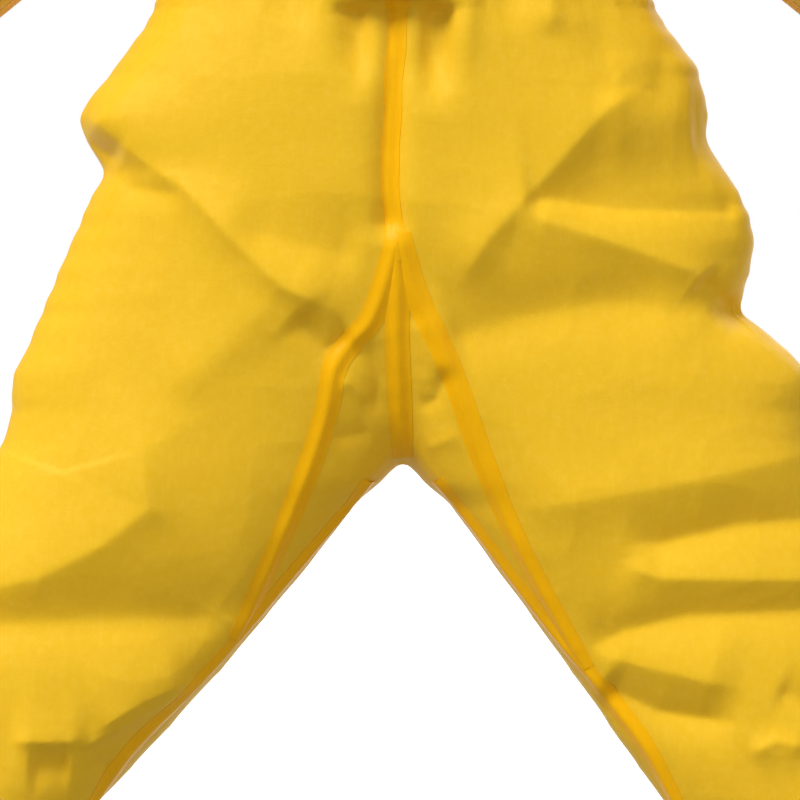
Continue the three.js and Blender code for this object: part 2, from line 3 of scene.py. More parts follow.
import bmesh
import bpy
import numpy as np
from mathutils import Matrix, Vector
from mathutils.bvhtree import BVHTree


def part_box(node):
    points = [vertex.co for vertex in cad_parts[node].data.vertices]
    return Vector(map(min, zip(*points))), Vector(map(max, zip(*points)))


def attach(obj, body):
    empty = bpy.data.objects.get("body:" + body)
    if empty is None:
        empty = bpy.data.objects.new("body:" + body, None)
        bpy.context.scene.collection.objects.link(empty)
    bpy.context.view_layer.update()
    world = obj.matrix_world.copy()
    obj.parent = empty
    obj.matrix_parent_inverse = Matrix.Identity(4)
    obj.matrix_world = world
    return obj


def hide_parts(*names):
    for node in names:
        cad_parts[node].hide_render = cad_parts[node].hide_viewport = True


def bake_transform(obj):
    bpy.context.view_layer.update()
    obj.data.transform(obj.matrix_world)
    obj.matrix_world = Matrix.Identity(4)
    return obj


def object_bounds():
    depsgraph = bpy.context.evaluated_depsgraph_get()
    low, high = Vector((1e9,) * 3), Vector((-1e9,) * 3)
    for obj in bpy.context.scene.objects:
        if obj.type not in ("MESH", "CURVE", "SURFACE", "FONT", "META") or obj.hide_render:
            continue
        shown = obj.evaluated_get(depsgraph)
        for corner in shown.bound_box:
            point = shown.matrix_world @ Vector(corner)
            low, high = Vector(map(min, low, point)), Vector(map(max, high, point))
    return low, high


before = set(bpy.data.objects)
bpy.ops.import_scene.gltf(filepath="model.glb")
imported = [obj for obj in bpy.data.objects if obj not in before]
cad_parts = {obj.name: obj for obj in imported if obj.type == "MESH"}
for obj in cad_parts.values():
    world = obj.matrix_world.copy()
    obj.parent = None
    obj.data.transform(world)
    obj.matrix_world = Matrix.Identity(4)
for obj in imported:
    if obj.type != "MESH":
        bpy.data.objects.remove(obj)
cad_low, cad_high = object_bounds()

# ---------------------------------------------------------------- camera, light and floor
# A level camera looks straight at the front of the hips and thighs, far enough away to keep
# the legs' lines nearly parallel. One wide soft light stands above, to the left and in front.
CROTCH_Z = -0.880
FRONT_Y = -0.118
VIEW_WIDTH = 0.800
VIEW_CENTRE = (-0.003, CROTCH_Z + 0.060)
CAMERA_DISTANCE = 4.4
SENSOR = 36.0


def new_object(name, data):
    made = bpy.data.objects.new(name, data)
    bpy.context.scene.collection.objects.link(made)
    return made


camera_data = bpy.data.cameras.new("camera")
camera_data.sensor_width = SENSOR
camera_data.lens = SENSOR * CAMERA_DISTANCE / VIEW_WIDTH
camera_data.clip_end = 200
camera = new_object("camera", camera_data)
camera.location = (VIEW_CENTRE[0], FRONT_Y - CAMERA_DISTANCE, VIEW_CENTRE[1])
camera.rotation_euler = (math.radians(90), 0, 0)
bpy.context.scene.camera = camera
bpy.context.scene.view_settings.view_transform = "Standard"
bpy.context.scene.view_settings.look = "None"


def add_sun(name, strength, spread, toward):
    data = bpy.data.lights.new(name, "SUN")
    data.energy = strength
    data.angle = math.radians(spread)
    light = new_object(name, data)
    light.rotation_euler = Vector(toward).to_track_quat("-Z", "Y").to_euler()


add_sun("key_light", 2.75, 24, (0.50, 0.52, -0.74))
add_sun("fill_light", 0.40, 90, (-0.75, 0.75, -0.25))
add_sun("back_light", 1.30, 60, (-0.30, -0.80, -0.45))

world = bpy.data.worlds.new("studio")
world.use_nodes = True
bpy.context.scene.world = world
sky_tree = world.node_tree
sky = sky_tree.nodes["Background"]
sky.inputs["Color"].default_value = (1, 1, 1, 1)
ray = sky_tree.nodes.new("ShaderNodeLightPath")
direction = sky_tree.nodes.new("ShaderNodeTexCoord")
upward = sky_tree.nodes.new("ShaderNodeSeparateXYZ")
glow = sky_tree.nodes.new("ShaderNodeMapRange")
for socket, value in (("From Min", -0.7), ("From Max", 0.7), ("To Min", 0.30), ("To Max", 0.52)):
    glow.inputs[socket].default_value = value
seen = sky_tree.nodes.new("ShaderNodeMix")
seen.inputs["B"].default_value = 1.0
sky_tree.links.new(direction.outputs["Generated"], upward.inputs["Vector"])
sky_tree.links.new(upward.outputs["Z"], glow.inputs["Value"])
sky_tree.links.new(glow.outputs["Result"], seen.inputs["A"])
sky_tree.links.new(ray.outputs["Is Camera Ray"], seen.inputs["Factor"])
sky_tree.links.new(seen.outputs["Result"], sky.inputs["Strength"])

FLOOR_HALF = 40.0
floor_bm = bmesh.new()
bmesh.ops.create_grid(floor_bm, x_segments=1, y_segments=1, size=FLOOR_HALF)
bmesh.ops.translate(floor_bm, verts=floor_bm.verts, vec=(0, 0, cad_low[2] - 0.004))
floor_mesh = bpy.data.meshes.new("floor")
floor_bm.to_mesh(floor_mesh)
floor_bm.free()
floor = new_object("floor", floor_mesh)
paper = bpy.data.materials.new("pale_floor")
paper.use_nodes = True
paper_shader = paper.node_tree.nodes["Principled BSDF"]
paper_shader.inputs["Base Color"].default_value = (0.95, 0.95, 0.95, 1)
paper_shader.inputs["Roughness"].default_value = 0.9
paper_shader.inputs["Emission Color"].default_value = (1, 1, 1, 1)
paper_shader.inputs["Emission Strength"].default_value = 0.35
floor_mesh.materials.append(paper)
floor.visible_diffuse = False

# ---------------------------------------------------------------- coated fabric
# Spun non-woven sheet with a thin yellow polymer coating: satin, finely mottled, with faint
# streaks along the roll and a soft crinkle in its surface.


def new_group(name, inputs, outputs):
    group = bpy.data.node_groups.new(name, "ShaderNodeTree")
    for socket, kind, value in inputs:
        made = group.interface.new_socket(name=socket, in_out="INPUT", socket_type=kind)
        made.default_value = value
    for socket, kind in outputs:
        group.interface.new_socket(name=socket, in_out="OUTPUT", socket_type=kind)
    entry = group.nodes.new("NodeGroupInput")
    result = group.nodes.new("NodeGroupOutput")
    return group, entry, result


def new_material(name):
    material = bpy.data.materials.new(name)
    material.use_nodes = True
    return material, material.node_tree, material.node_tree.nodes["Principled BSDF"]


def add_colour(tree, shader, factor, deep, pale, ends=(0.0, 1.0)):
    """The base colour runs from deep to pale as the factor goes from one end to the other."""
    ramp = tree.nodes.new("ShaderNodeValToRGB")
    for index, colour in enumerate((deep, pale)):
        ramp.color_ramp.elements[index].position = ends[index]
        ramp.color_ramp.elements[index].color = (*colour, 1)
    tree.links.new(factor, ramp.inputs["Fac"])
    tree.links.new(ramp.outputs["Color"], shader.inputs["Base Color"])


def add_relief(tree, shader, height, strength, distance):
    relief = tree.nodes.new("ShaderNodeBump")
    relief.inputs["Strength"].default_value = strength
    relief.inputs["Distance"].default_value = distance
    tree.links.new(height, relief.inputs["Height"])
    tree.links.new(relief.outputs["Normal"], shader.inputs["Normal"])


def object_place(tree):
    return tree.nodes.new("ShaderNodeTexCoord").outputs["Object"]


def add_noise(tree, vector, scale, detail, roughness=0.5):
    node = tree.nodes.new("ShaderNodeTexNoise")
    node.inputs["Scale"].default_value = scale
    node.inputs["Detail"].default_value = detail
    node.inputs["Roughness"].default_value = roughness
    tree.links.new(vector, node.inputs["Vector"])
    return node.outputs["Fac"]


def stretched(tree, vector, scale):
    node = tree.nodes.new("ShaderNodeMapping")
    node.inputs["Scale"].default_value = scale
    tree.links.new(vector, node.inputs["Vector"])
    return node.outputs["Vector"]


def math_node(tree, operation, first, second):
    node = tree.nodes.new("ShaderNodeMath")
    node.operation = operation
    for socket, value in zip(node.inputs, (first, second)):
        if isinstance(value, (int, float)):
            socket.default_value = value
        else:
            tree.links.new(value, socket)
    return node.outputs["Value"]


# The group gives a tint between 0 and 1 and a height, from the place on the suit.
nonwoven, nonwoven_in, nonwoven_out = new_group(
    "nonwoven_surface",
    [("Mottle", "NodeSocketFloat", 1.0), ("Streaks", "NodeSocketFloat", 1.0)],
    [("Tint", "NodeSocketFloat"), ("Height", "NodeSocketFloat")],
)
place = object_place(nonwoven)
fibres = add_noise(nonwoven, place, 900, 3, 0.6)
clouds = add_noise(nonwoven, place, 120, 3, 0.55)
streaks = add_noise(nonwoven, stretched(nonwoven, place, (1.0, 1.0, 0.12)), 300, 2)
crinkle = add_noise(nonwoven, place, 38, 4, 0.6)
mottled = math_node(nonwoven, "MULTIPLY", math_node(nonwoven, "ADD", fibres, clouds), 0.5)
mottled = math_node(nonwoven, "MULTIPLY", mottled, nonwoven_in.outputs["Mottle"])
streaked = math_node(nonwoven, "MULTIPLY", streaks, nonwoven_in.outputs["Streaks"])
nonwoven.links.new(
    math_node(nonwoven, "MULTIPLY", math_node(nonwoven, "ADD", mottled, streaked), 0.5),
    nonwoven_out.inputs["Tint"],
)
nonwoven.links.new(
    math_node(nonwoven, "ADD", math_node(nonwoven, "MULTIPLY", fibres, 0.35), crinkle),
    nonwoven_out.inputs["Height"],
)


COATING_SHINE = 0.12
ROUGHNESS_SWING = 0.06


def add_nonwoven(tree, **strengths):
    surface = tree.nodes.new("ShaderNodeGroup")
    surface.node_tree = nonwoven
    for name, value in strengths.items():
        surface.inputs[name].default_value = value
    return surface.outputs["Tint"], surface.outputs["Height"]


def fabric_material(name, pale, deep, roughness, bump):
    material, tree, shader = new_material(name)
    tint, height = add_nonwoven(tree, Mottle=1.15, Streaks=0.35)
    add_colour(tree, shader, tint, deep, pale, (0.34, 0.56))
    add_relief(tree, shader, height, bump, 0.0012)
    rough = tree.nodes.new("ShaderNodeMapRange")
    rough.inputs["To Min"].default_value = roughness - ROUGHNESS_SWING
    rough.inputs["To Max"].default_value = roughness + ROUGHNESS_SWING
    tree.links.new(tint, rough.inputs["Value"])
    tree.links.new(rough.outputs["Result"], shader.inputs["Roughness"])
    shader.inputs["Specular IOR Level"].default_value = COATING_SHINE
    return material


coated_fabric = fabric_material("coated_fabric", (0.92, 0.570, 0.036), (0.87, 0.512, 0.016), 0.50, 0.50)

# ---------------------------------------------------------------- the form of the suit
# The suit stands as worn. Lofted ovals for trunk, hood, legs and sleeves are joined into one
# skin, which is gathered, creased and then cut into the sewn panels.
LEG_ANGLE = math.radians(31)
LEG_LENGTH = 0.734
THIGH_HALF = 0.197
SLEEVE_ANGLE = math.radians(48)
SLEEVE_START = (0.258, -0.190)
SLEEVE_LENGTH = 0.640
SHOULDER = (0.246, -0.078)
ARMPIT = (0.297, -0.335)
WAIST_Z = -0.388
SKIN_VOXEL = 0.011
SIDES = (("left", 1), ("right", -1))


def limb_axes(angle, sign):
    down = Vector((sign * math.sin(angle), 0, -math.cos(angle)))
    outward = Vector((sign * math.cos(angle), 0, math.sin(angle)))
    return down, outward


def leg_point(sign, along, out=0.0, y=0.0):
    down, outward = limb_axes(LEG_ANGLE, sign)
    start = Vector((0, y, CROTCH_Z)) + outward * THIGH_HALF
    return start + down * along + outward * out


def sleeve_point(sign, along, out=0.0, y=0.0):
    down, outward = limb_axes(SLEEVE_ANGLE, sign)
    start = Vector((sign * SLEEVE_START[0], y, SLEEVE_START[1]))
    return start + down * along + outward * out


def add_loft(bm, sections, segments=56):
    """Ovals bridged into a closed skin.

    A section is its centre, its direction of width, two half sizes and its squareness.
    """
    last = None
    for centre, across, half_width, half_depth, square in sections:
        ring = bmesh.ops.create_circle(bm, cap_ends=False, radius=1, segments=segments)["verts"]
        for vert in ring:
            x, y = vert.co.x, vert.co.y
            wide = math.copysign(abs(x) ** (2 / square), x) * half_width
            deep = math.copysign(abs(y) ** (2 / square), y) * half_depth
            vert.co = Vector(centre) + Vector(across) * wide + Vector((0, deep, 0))
        edges = list({edge for vert in ring for edge in vert.link_edges})
        if last is None:
            bmesh.ops.contextual_create(bm, geom=edges)
        else:
            bmesh.ops.bridge_loops(bm, edges=last + edges)
        last = edges
    bmesh.ops.contextual_create(bm, geom=last)


def upright(rows):
    return [((0, (front + back) / 2, z), (1, 0, 0), half, (back - front) / 2, square)
            for z, half, front, back, square in rows]


trunk_rows = [
    (CROTCH_Z + 0.040, 0.030, -0.038, 0.038, 2.0),
    (CROTCH_Z + 0.090, 0.090, -0.074, 0.074, 2.0),
    (CROTCH_Z + 0.170, 0.190, -0.102, 0.104, 2.1),
    (CROTCH_Z + 0.270, 0.288, -0.116, 0.122, 2.2),
    (CROTCH_Z + 0.355, 0.312, -0.118, 0.127, 2.2),
    (CROTCH_Z + 0.430, 0.272, -0.117, 0.120, 2.2),
    (WAIST_Z - 0.010, 0.226, -0.114, 0.104, 2.1),
    (WAIST_Z + 0.010, 0.226, -0.114, 0.104, 2.1),
    (-0.325, 0.272, -0.116, 0.130, 2.2),
    (-0.260, 0.292, -0.117, 0.150, 2.2),
    (-0.190, 0.286, -0.117, 0.146, 2.2),
    (-0.130, 0.268, -0.117, 0.122, 2.1),
    (-0.078, 0.244, -0.116, 0.098, 2.0),
    (-0.056, 0.212, -0.116, 0.086, 2.0),
    (-0.036, 0.160, -0.116, 0.076, 2.0),
    (-0.018, 0.116, -0.116, 0.068, 2.0),
    (0.000, 0.096, -0.116, 0.062, 2.0),
]
hood_rows = [
    (-0.012, 0.100, -0.117, 0.066, 2.0),
    (0.004, 0.096, -0.117, 0.062, 2.0),
    (0.040, 0.100, -0.122, 0.088, 2.0),
    (0.110, 0.118, -0.138, 0.118, 2.1),
    (0.180, 0.122, -0.142, 0.122, 2.1),
    (0.240, 0.106, -0.128, 0.109, 2.1),
    (0.278, 0.073, -0.092, 0.078, 2.0),
    (0.300, 0.030, -0.046, 0.028, 2.0),
]
leg_rows = [
    (-0.190, 0.182, 0.110), (-0.100, 0.203, 0.110), (0.000, 0.197, 0.100), (0.150, 0.178, 0.093),
    (0.290, 0.158, 0.086), (0.400, 0.145, 0.081), (0.530, 0.131, 0.075), (0.624, 0.112, 0.066),
    (0.684, 0.094, 0.058), (0.716, 0.064, 0.056), (0.760, 0.061, 0.056),
]
sleeve_rows = [
    (-0.100, 0.060, 0.060), (0.000, 0.092, 0.088), (0.120, 0.080, 0.080), (0.300, 0.070, 0.070),
    (0.450, 0.064, 0.062), (0.560, 0.057, 0.055), (0.600, 0.045, 0.043), (0.624, 0.037, 0.035),
    (0.660, 0.037, 0.035),
]

form = bmesh.new()
add_loft(form, upright(trunk_rows))
add_loft(form, upright(hood_rows))
for side, sign in SIDES:
    for angle, point, rows, square in (
        (LEG_ANGLE, leg_point, leg_rows, 2.1),
        (SLEEVE_ANGLE, sleeve_point, sleeve_rows, 2.0),
    ):
        outward = limb_axes(angle, sign)[1]
        add_loft(form, [(point(sign, along), outward, half, deep, square) for along, half, deep in rows])
bmesh.ops.recalc_face_normals(form, faces=form.faces)


def object_from(bm, name):
    mesh = bpy.data.meshes.new(name)
    bm.to_mesh(mesh)
    bm.free()
    return new_object(name, mesh)


def applied(obj):
    """The object's mesh with its modifiers applied, as a bmesh, and the object is gone."""
    seen_obj = obj.evaluated_get(bpy.context.evaluated_depsgraph_get())
    result = bmesh.new()
    result.from_mesh(seen_obj.to_mesh())
    seen_obj.to_mesh_clear()
    old = obj.data
    bpy.data.objects.remove(obj)
    bpy.data.meshes.remove(old)
    return result


def remeshed(bm, voxel):
    obj = object_from(bm, "joined_form")
    remesh = obj.modifiers.new("one_skin", "REMESH")
    remesh.mode = "VOXEL"
    remesh.voxel_size = voxel
    return applied(obj)


def places(bm):
    return np.array([v.co for v in bm.verts])


def normals(bm):
    bm.normal_update()
    return np.array([v.normal for v in bm.verts])


def put(bm, points):
    for vert, point in zip(bm.verts, points):
        vert.co = point


def smooth(bm, verts, factor, passes=1):
    for _ in range(passes):
        bmesh.ops.smooth_vert(bm, verts=verts, factor=factor,
                              use_axis_x=True, use_axis_y=True, use_axis_z=True)


skin = remeshed(form, SKIN_VOXEL)
smooth(skin, skin.verts, 0.5, passes=6)


def smoothstep(low, high, value):
    t = np.clip((value - low) / (high - low), 0, 1)
    return t * t * (3 - 2 * t)


# Points within this height of a level count as lying on it.
LEVEL_BAND = 0.008

# The hips' outline, as heights above the crotch and half widths on the wearer's two sides.
HIP_OUTLINE = {
    1: ((0.080, 0.421), (0.110, 0.400), (0.134, 0.370), (0.152, 0.347), (0.175, 0.354),
        (0.215, 0.362), (0.245, 0.360), (0.280, 0.343), (0.316, 0.318), (0.328, 0.312),
        (0.360, 0.313), (0.400, 0.305), (0.430, 0.284), (0.460, 0.262)),
    -1: ((0.080, 0.404), (0.140, 0.377), (0.200, 0.352), (0.260, 0.326), (0.291, 0.306),
         (0.304, 0.312), (0.325, 0.326), (0.345, 0.333), (0.362, 0.328), (0.400, 0.298),
         (0.420, 0.286), (0.440, 0.272), (0.460, 0.259)),
}

# Each leg's inner edge, as distances from the middle and heights above the crotch.
INNER_EDGE = {
    1: ((0.041, -0.043), (0.101, -0.125), (0.160, -0.208), (0.219, -0.290), (0.262, -0.350)),
    -1: ((0.041, -0.043), (0.106, -0.125), (0.172, -0.208), (0.251, -0.290), (0.304, -0.350)),
}


def fit_inner_edge(bm):
    """The inside of each leg is moved to its edge, and the move dies away across the leg and below."""
    points = places(bm)
    height = points[:, 2] - CROTCH_Z
    for sign, edge in INNER_EDGE.items():
        out = points[:, 0] * sign
        moves = []
        for wanted, level in edge:
            near = (out > 0) & (np.abs(height - level) < LEVEL_BAND)
            moves.append(wanted - np.min(out[near]))
        levels = [level for _, level in edge]
        move = np.interp(height, levels[::-1], moves[::-1])
        now = np.interp(height, levels[::-1], [x for x, _ in edge][::-1])
        now += 0.8 * np.maximum(levels[-1] - height, 0)
        share = smoothstep(0.15, 0.0, out - now)
        share = share * smoothstep(-0.60, -0.36, height) * smoothstep(-0.02, -0.05, height)
        points[:, 0] += sign * move * share * (out > 0)
    put(bm, points)


def fit_outline(bm):
    """Each side of the hips is moved to its outline, most at the edge and not at the middle."""
    points = places(bm)
    height = points[:, 2] - CROTCH_Z
    for sign, outline in HIP_OUTLINE.items():
        levels = np.linspace(-0.04, 0.50, 55)
        here = points[:, 0] * sign > 0
        sleeve_side = np.interp(height, (0.20, 0.34), (0.47, 0.365))
        reach = []
        for level in levels:
            near = here & (np.abs(height - level) < LEVEL_BAND) & (points[:, 0] * sign < sleeve_side)
            reach.append(np.max(points[near, 0] * sign))
        wanted = np.interp(height, [h for h, _ in outline], [w for _, w in outline])
        now = np.interp(height, levels, reach)
        share = np.clip(points[:, 0] * sign / now, 0, 1)
        near_leg = smoothstep(-0.030, 0.085, height) * (1 - smoothstep(0.465, 0.495, height))
        change = (wanted / now - 1) * smoothstep(0.35, 1.0, share) * near_leg
        inside = here & (points[:, 0] * sign < sleeve_side)
        points[inside, 0] *= 1 + change[inside]
    put(bm, points)


fit_outline(skin)
fit_inner_edge(skin)

# ---------------------------------------------------------------- finer skin where the folds are sharp
FINE_LOW = CROTCH_Z - 0.355
FINE_HIGH = CROTCH_Z + 0.500
FINE_HALF = 0.46

skin_obj = object_from(skin, "skin")
smoother = skin_obj.modifiers.new("rounder", "SUBSURF")
smoother.levels = smoother.render_levels = 1
skin = applied(skin_obj)


def is_fine(vert):
    return vert.co.y < 0.01 and FINE_LOW < vert.co.z < FINE_HIGH and abs(vert.co.x) < FINE_HALF


fine_edges = [e for e in skin.edges if all(is_fine(v) for v in e.verts)]
bmesh.ops.subdivide_edges(skin, edges=fine_edges, cuts=1, use_grid_fill=True)
smooth(skin, skin.verts, 0.5)

# ---------------------------------------------------------------- folds and creases
# Each fold is a line of x and height above the crotch, a height, and how far it spreads on the
# side to its left and on the side to its right. A crisp edge spreads little on one side.


def line_distance(flat, line):
    """Signed distance to a line of points, positive on its left, and the share of the way along it."""
    best = np.full(len(flat), 1e9)
    signed = np.zeros(len(flat))
    way = np.zeros(len(flat))
    line = np.array(line, float)
    lengths = np.linalg.norm(np.diff(line, axis=0), axis=1)
    before = np.concatenate([[0], np.cumsum(lengths)])
    for a, b, start, length in zip(line[:-1], line[1:], before, lengths):
        along = (b - a) / length
        offset = flat - a
        t = np.clip(offset @ along, 0, length)
        gap = np.linalg.norm(offset - t[:, None] * along, axis=1)
        side = np.sign(along[0] * offset[:, 1] - along[1] * offset[:, 0])
        closer = gap < best
        best[closer] = gap[closer]
        signed[closer] = (side * gap)[closer]
        way[closer] = ((start + t) / before[-1])[closer]
    return signed, way


# Every spread is widened by the first. Further from its line than its spread times the second,
# a fold is left out.
FOLD_SOFTNESS = 1.10
FOLD_REACH = 3.2


def fold_height(flat, line, height, left, right, crisp, ends):
    signed, way = line_distance(flat, line)
    left, right = left * FOLD_SOFTNESS, right * FOLD_SOFTNESS
    spread = np.where(signed > 0, left, right)
    shape = np.exp(-np.abs(signed / spread) ** crisp)
    taper = np.ones(len(flat))
    if ends[0] > 0:
        taper *= smoothstep(0, ends[0], way)
    if ends[1] > 0:
        taper *= 1 - smoothstep(1 - ends[1], 1, way)
    return height * shape * taper


# Line, height, spread to the left, spread to the right, crispness, and the share of the line over
# which it fades in and out. All in metres. Lines run from left to right as seen from the front
# unless they stand upright.
SOFT_ENDS = (0.25, 0.25)
FOLDS = [
    # wearer's right hip: the long fold that runs down to the gusset, and the hollow over it
    ([(-0.322, 0.350), (-0.278, 0.313), (-0.217, 0.269),
      (-0.173, 0.223), (-0.122, 0.174), (-0.046, 0.137)], 0.014, 0.050, 0.018, 1.15, (0.05, 0.2)),
    ([(-0.330, 0.326), (-0.302, 0.312), (-0.283, 0.302)], -0.016, 0.012, 0.012, 1.6, (0.0, 0.3)),
    ([(-0.290, 0.277), (-0.217, 0.266)], -0.004, 0.008, 0.012, 1.6, (0.3, 0.3)),
    ([(-0.180, 0.240), (-0.100, 0.215), (-0.035, 0.205)], -0.008, 0.034, 0.026, 1.6, (0.3, 0.2)),
    ([(-0.110, 0.148), (-0.078, 0.112), (-0.050, 0.128)], -0.009, 0.016, 0.016, 1.25, (0.2, 0.1)),
    ([(-0.240, 0.060), (-0.185, 0.110), (-0.122, 0.168)], 0.005, 0.036, 0.026, 1.6, SOFT_ENDS),
    # wearer's right thigh
    ([(-0.300, 0.090), (-0.262, 0.010), (-0.256, -0.050),
      (-0.301, -0.086), (-0.366, -0.119), (-0.420, -0.132)], 0.015, 0.034, 0.065, 1.2, (0.4, 0.0)),
    ([(-0.420, -0.166), (-0.327, -0.162), (-0.209, -0.160), (-0.150, -0.150)],
     -0.014, 0.034, 0.030, 1.6, (0.0, 0.25)),
    ([(-0.314, -0.277), (-0.260, -0.245), (-0.204, -0.221)], 0.010, 0.034, 0.014, 1.2, SOFT_ENDS),
    ([(-0.330, -0.295), (-0.288, -0.274), (-0.224, -0.238),
      (-0.202, -0.220), (-0.163, -0.170), (-0.151, -0.144)], 0.009, 0.030, 0.008, 1.2, (0.1, 0.15)),
    ([(-0.400, -0.284), (-0.352, -0.286), (-0.314, -0.284)], 0.008, 0.024, 0.010, 1.2, SOFT_ENDS),
    ([(-0.380, -0.310), (-0.335, -0.312)], -0.009, 0.016, 0.018, 1.6, SOFT_ENDS),
    ([(-0.303, -0.355), (-0.302, -0.300)], -0.005, 0.012, 0.010, 1.2, SOFT_ENDS),
    # gathers under the waist elastic, on both sides of the front seam
    ([(-0.046, 0.500), (-0.044, 0.352)], -0.015, 0.013, 0.017, 2.0, (0.0, 0.5)),
    ([(0.034, 0.500), (0.030, 0.340)], -0.017, 0.019, 0.016, 2.0, (0.0, 0.45)),
    ([(0.064, 0.500), (0.058, 0.370)], 0.006, 0.014, 0.014, 2.0, (0.0, 0.5)),
    ([(-0.112, 0.520), (-0.102, 0.390)], -0.007, 0.018, 0.022, 2.0, (0.0, 0.6)),
    ([(0.116, 0.520), (0.106, 0.420)], -0.006, 0.016, 0.022, 2.0, (0.0, 0.6)),
    # the front seam lies in a trough that closes below the waist
    ([(-0.010, 0.500), (-0.008, 0.395), (-0.013, 0.300), (-0.012, 0.240), (-0.006, 0.215)],
     -0.015, 0.012, 0.015, 1.6, (0.0, 0.1)),
    # wearer's left hip: a broad raised diagonal, a crease across from its foot, and a fold below
    ([(0.270, 0.395), (0.205, 0.352), (0.130, 0.270), (0.085, 0.222), (0.048, 0.160)],
     0.014, 0.024, 0.042, 1.3, (0.25, 0.2)),
    ([(0.118, 0.258), (0.150, 0.262), (0.214, 0.252), (0.350, 0.250)],
     -0.010, 0.036, 0.013, 1.2, (0.08, 0.1)),
    ([(0.190, 0.330), (0.300, 0.335)], 0.008, 0.040, 0.030, 2.0, (0.3, 0.1)),
    ([(0.112, 0.248), (0.200, 0.222), (0.293, 0.190), (0.336, 0.153)],
     0.010, 0.026, 0.024, 1.25, (0.15, 0.1)),
    ([(0.040, 0.118), (0.110, 0.142), (0.200, 0.158), (0.290, 0.162)],
     -0.012, 0.034, 0.034, 1.6, (0.1, 0.3)),
    ([(0.300, 0.185), (0.340, 0.146)], -0.016, 0.012, 0.014, 1.6, (0.2, 0.0)),
    ([(0.150, 0.480), (0.150, 0.420)], 0.007, 0.016, 0.014, 1.6, (0.0, 0.5)),
    ([(0.188, 0.460), (0.212, 0.378), (0.258, 0.372), (0.270, 0.440)],
     -0.005, 0.014, 0.024, 1.6, (0.3, 0.2)),
    # wearer's left thigh: three troughs that open towards the outside of the leg
    ([(0.090, -0.055), (0.190, -0.040), (0.300, -0.020), (0.420, 0.008)],
     0.012, 0.060, 0.034, 1.3, (0.25, 0.0)),
    ([(0.218, -0.086), (0.262, -0.084), (0.335, -0.066), (0.420, -0.060)],
     -0.012, 0.022, 0.022, 1.3, (0.2, 0.0)),
    ([(0.215, -0.104), (0.260, -0.120), (0.420, -0.122)], 0.009, 0.026, 0.018, 1.25, (0.15, 0.0)),
    ([(0.180, -0.198), (0.222, -0.174), (0.285, -0.158), (0.420, -0.152)],
     -0.013, 0.022, 0.028, 1.3, (0.15, 0.0)),
    ([(0.188, -0.196), (0.250, -0.212), (0.345, -0.232)], 0.008, 0.036, 0.016, 1.25, SOFT_ENDS),
    ([(0.200, -0.228), (0.258, -0.256), (0.350, -0.268)], -0.013, 0.020, 0.022, 1.25, (0.12, 0.3)),
    ([(0.374, -0.232), (0.420, -0.250)], -0.005, 0.014, 0.014, 1.6, (0.3, 0.0)),
    ([(0.345, -0.300), (0.377, -0.284), (0.410, -0.292)], 0.006, 0.010, 0.016, 1.3, SOFT_ENDS),
    # small puckers in the gusset, drawn in by its seams
    ([(-0.040, 0.128), (-0.026, 0.085), (-0.030, 0.040)], -0.005, 0.010, 0.010, 1.25, SOFT_ENDS),
    ([(-0.066, 0.082), (-0.030, 0.060)], 0.003, 0.010, 0.008, 1.25, SOFT_ENDS),
    ([(-0.075, 0.020), (-0.030, 0.030)], -0.004, 0.010, 0.012, 1.25, SOFT_ENDS),
    ([(0.012, 0.146), (0.026, 0.110), (0.046, 0.080)], 0.004, 0.008, 0.010, 1.25, SOFT_ENDS),
    ([(0.014, 0.050), (0.034, 0.062), (0.048, 0.095)], -0.005, 0.009, 0.010, 1.25, SOFT_ENDS),
    ([(0.020, 0.010), (0.060, 0.026)], 0.003, 0.010, 0.010, 1.25, SOFT_ENDS),
]


def add_folds(bm):
    points = places(bm)
    facing = smoothstep(0.10, 0.60, -normals(bm)[:, 1])
    flat = np.stack([points[:, 0], points[:, 2] - CROTCH_Z], axis=1)
    near = (facing > 0) & (np.abs(flat[:, 0]) < 0.5) & (flat[:, 1] > -0.42) & (flat[:, 1] < 0.56)
    total = np.zeros(len(points))
    for fold in FOLDS:
        line, _, left, right, _, _ = fold
        line = np.array(line)
        margin = FOLD_REACH * max(left, right)
        low, high = line.min(axis=0) - margin, line.max(axis=0) + margin
        close = near & np.all((flat > low) & (flat < high), axis=1)
        total[close] += fold_height(flat[close], *fold)
    points[:, 1] -= total * facing
    put(bm, points)


add_folds(skin)
smooth(skin, skin.verts, 0.4, passes=2)


# Where elastic draws the fabric in, pleats run out of it and fade. Away from the front of the hips
# the fabric is crumpled all over, in ridges a hand's breadth apart with finer ones between them.


def pleats(points, centre, axis, across, count, depth, reach, lean=0.0):
    """Radial rise of pleats round an axis, strongest at the centre's plane."""
    axis, across = np.array(axis), np.array(across)
    third = np.cross(axis, across)
    offset = points - np.array(centre)
    along = offset @ axis
    angle = np.arctan2(offset @ third, offset @ across)
    wander = 0.6 * np.sin(3 * angle + 1.3) + 0.4 * np.sin(5 * angle + 0.4)
    wave = np.sin(count * angle + wander * 2.0 + lean * along)
    return depth * (0.6 * wave + 0.4 * np.abs(wave)) * np.exp(-np.abs(along) / reach)


LATTICE = 32
lattice = np.random.default_rng(7).uniform(-1, 1, (LATTICE, LATTICE, LATTICE))


def soft_noise(points, size, shift):
    """Smooth noise between -1 and 1, from a lattice of seeded values."""
    cell = points / size + shift
    base = np.floor(cell).astype(int)
    part = cell - base
    part = part * part * (3 - 2 * part)
    total = np.zeros(len(points))
    for corner in np.ndindex(2, 2, 2):
        index = (base + corner) % LATTICE
        weight = np.prod(np.where(corner, part, 1 - part), axis=1)
        total += weight * lattice[index[:, 0], index[:, 1], index[:, 2]]
    return total


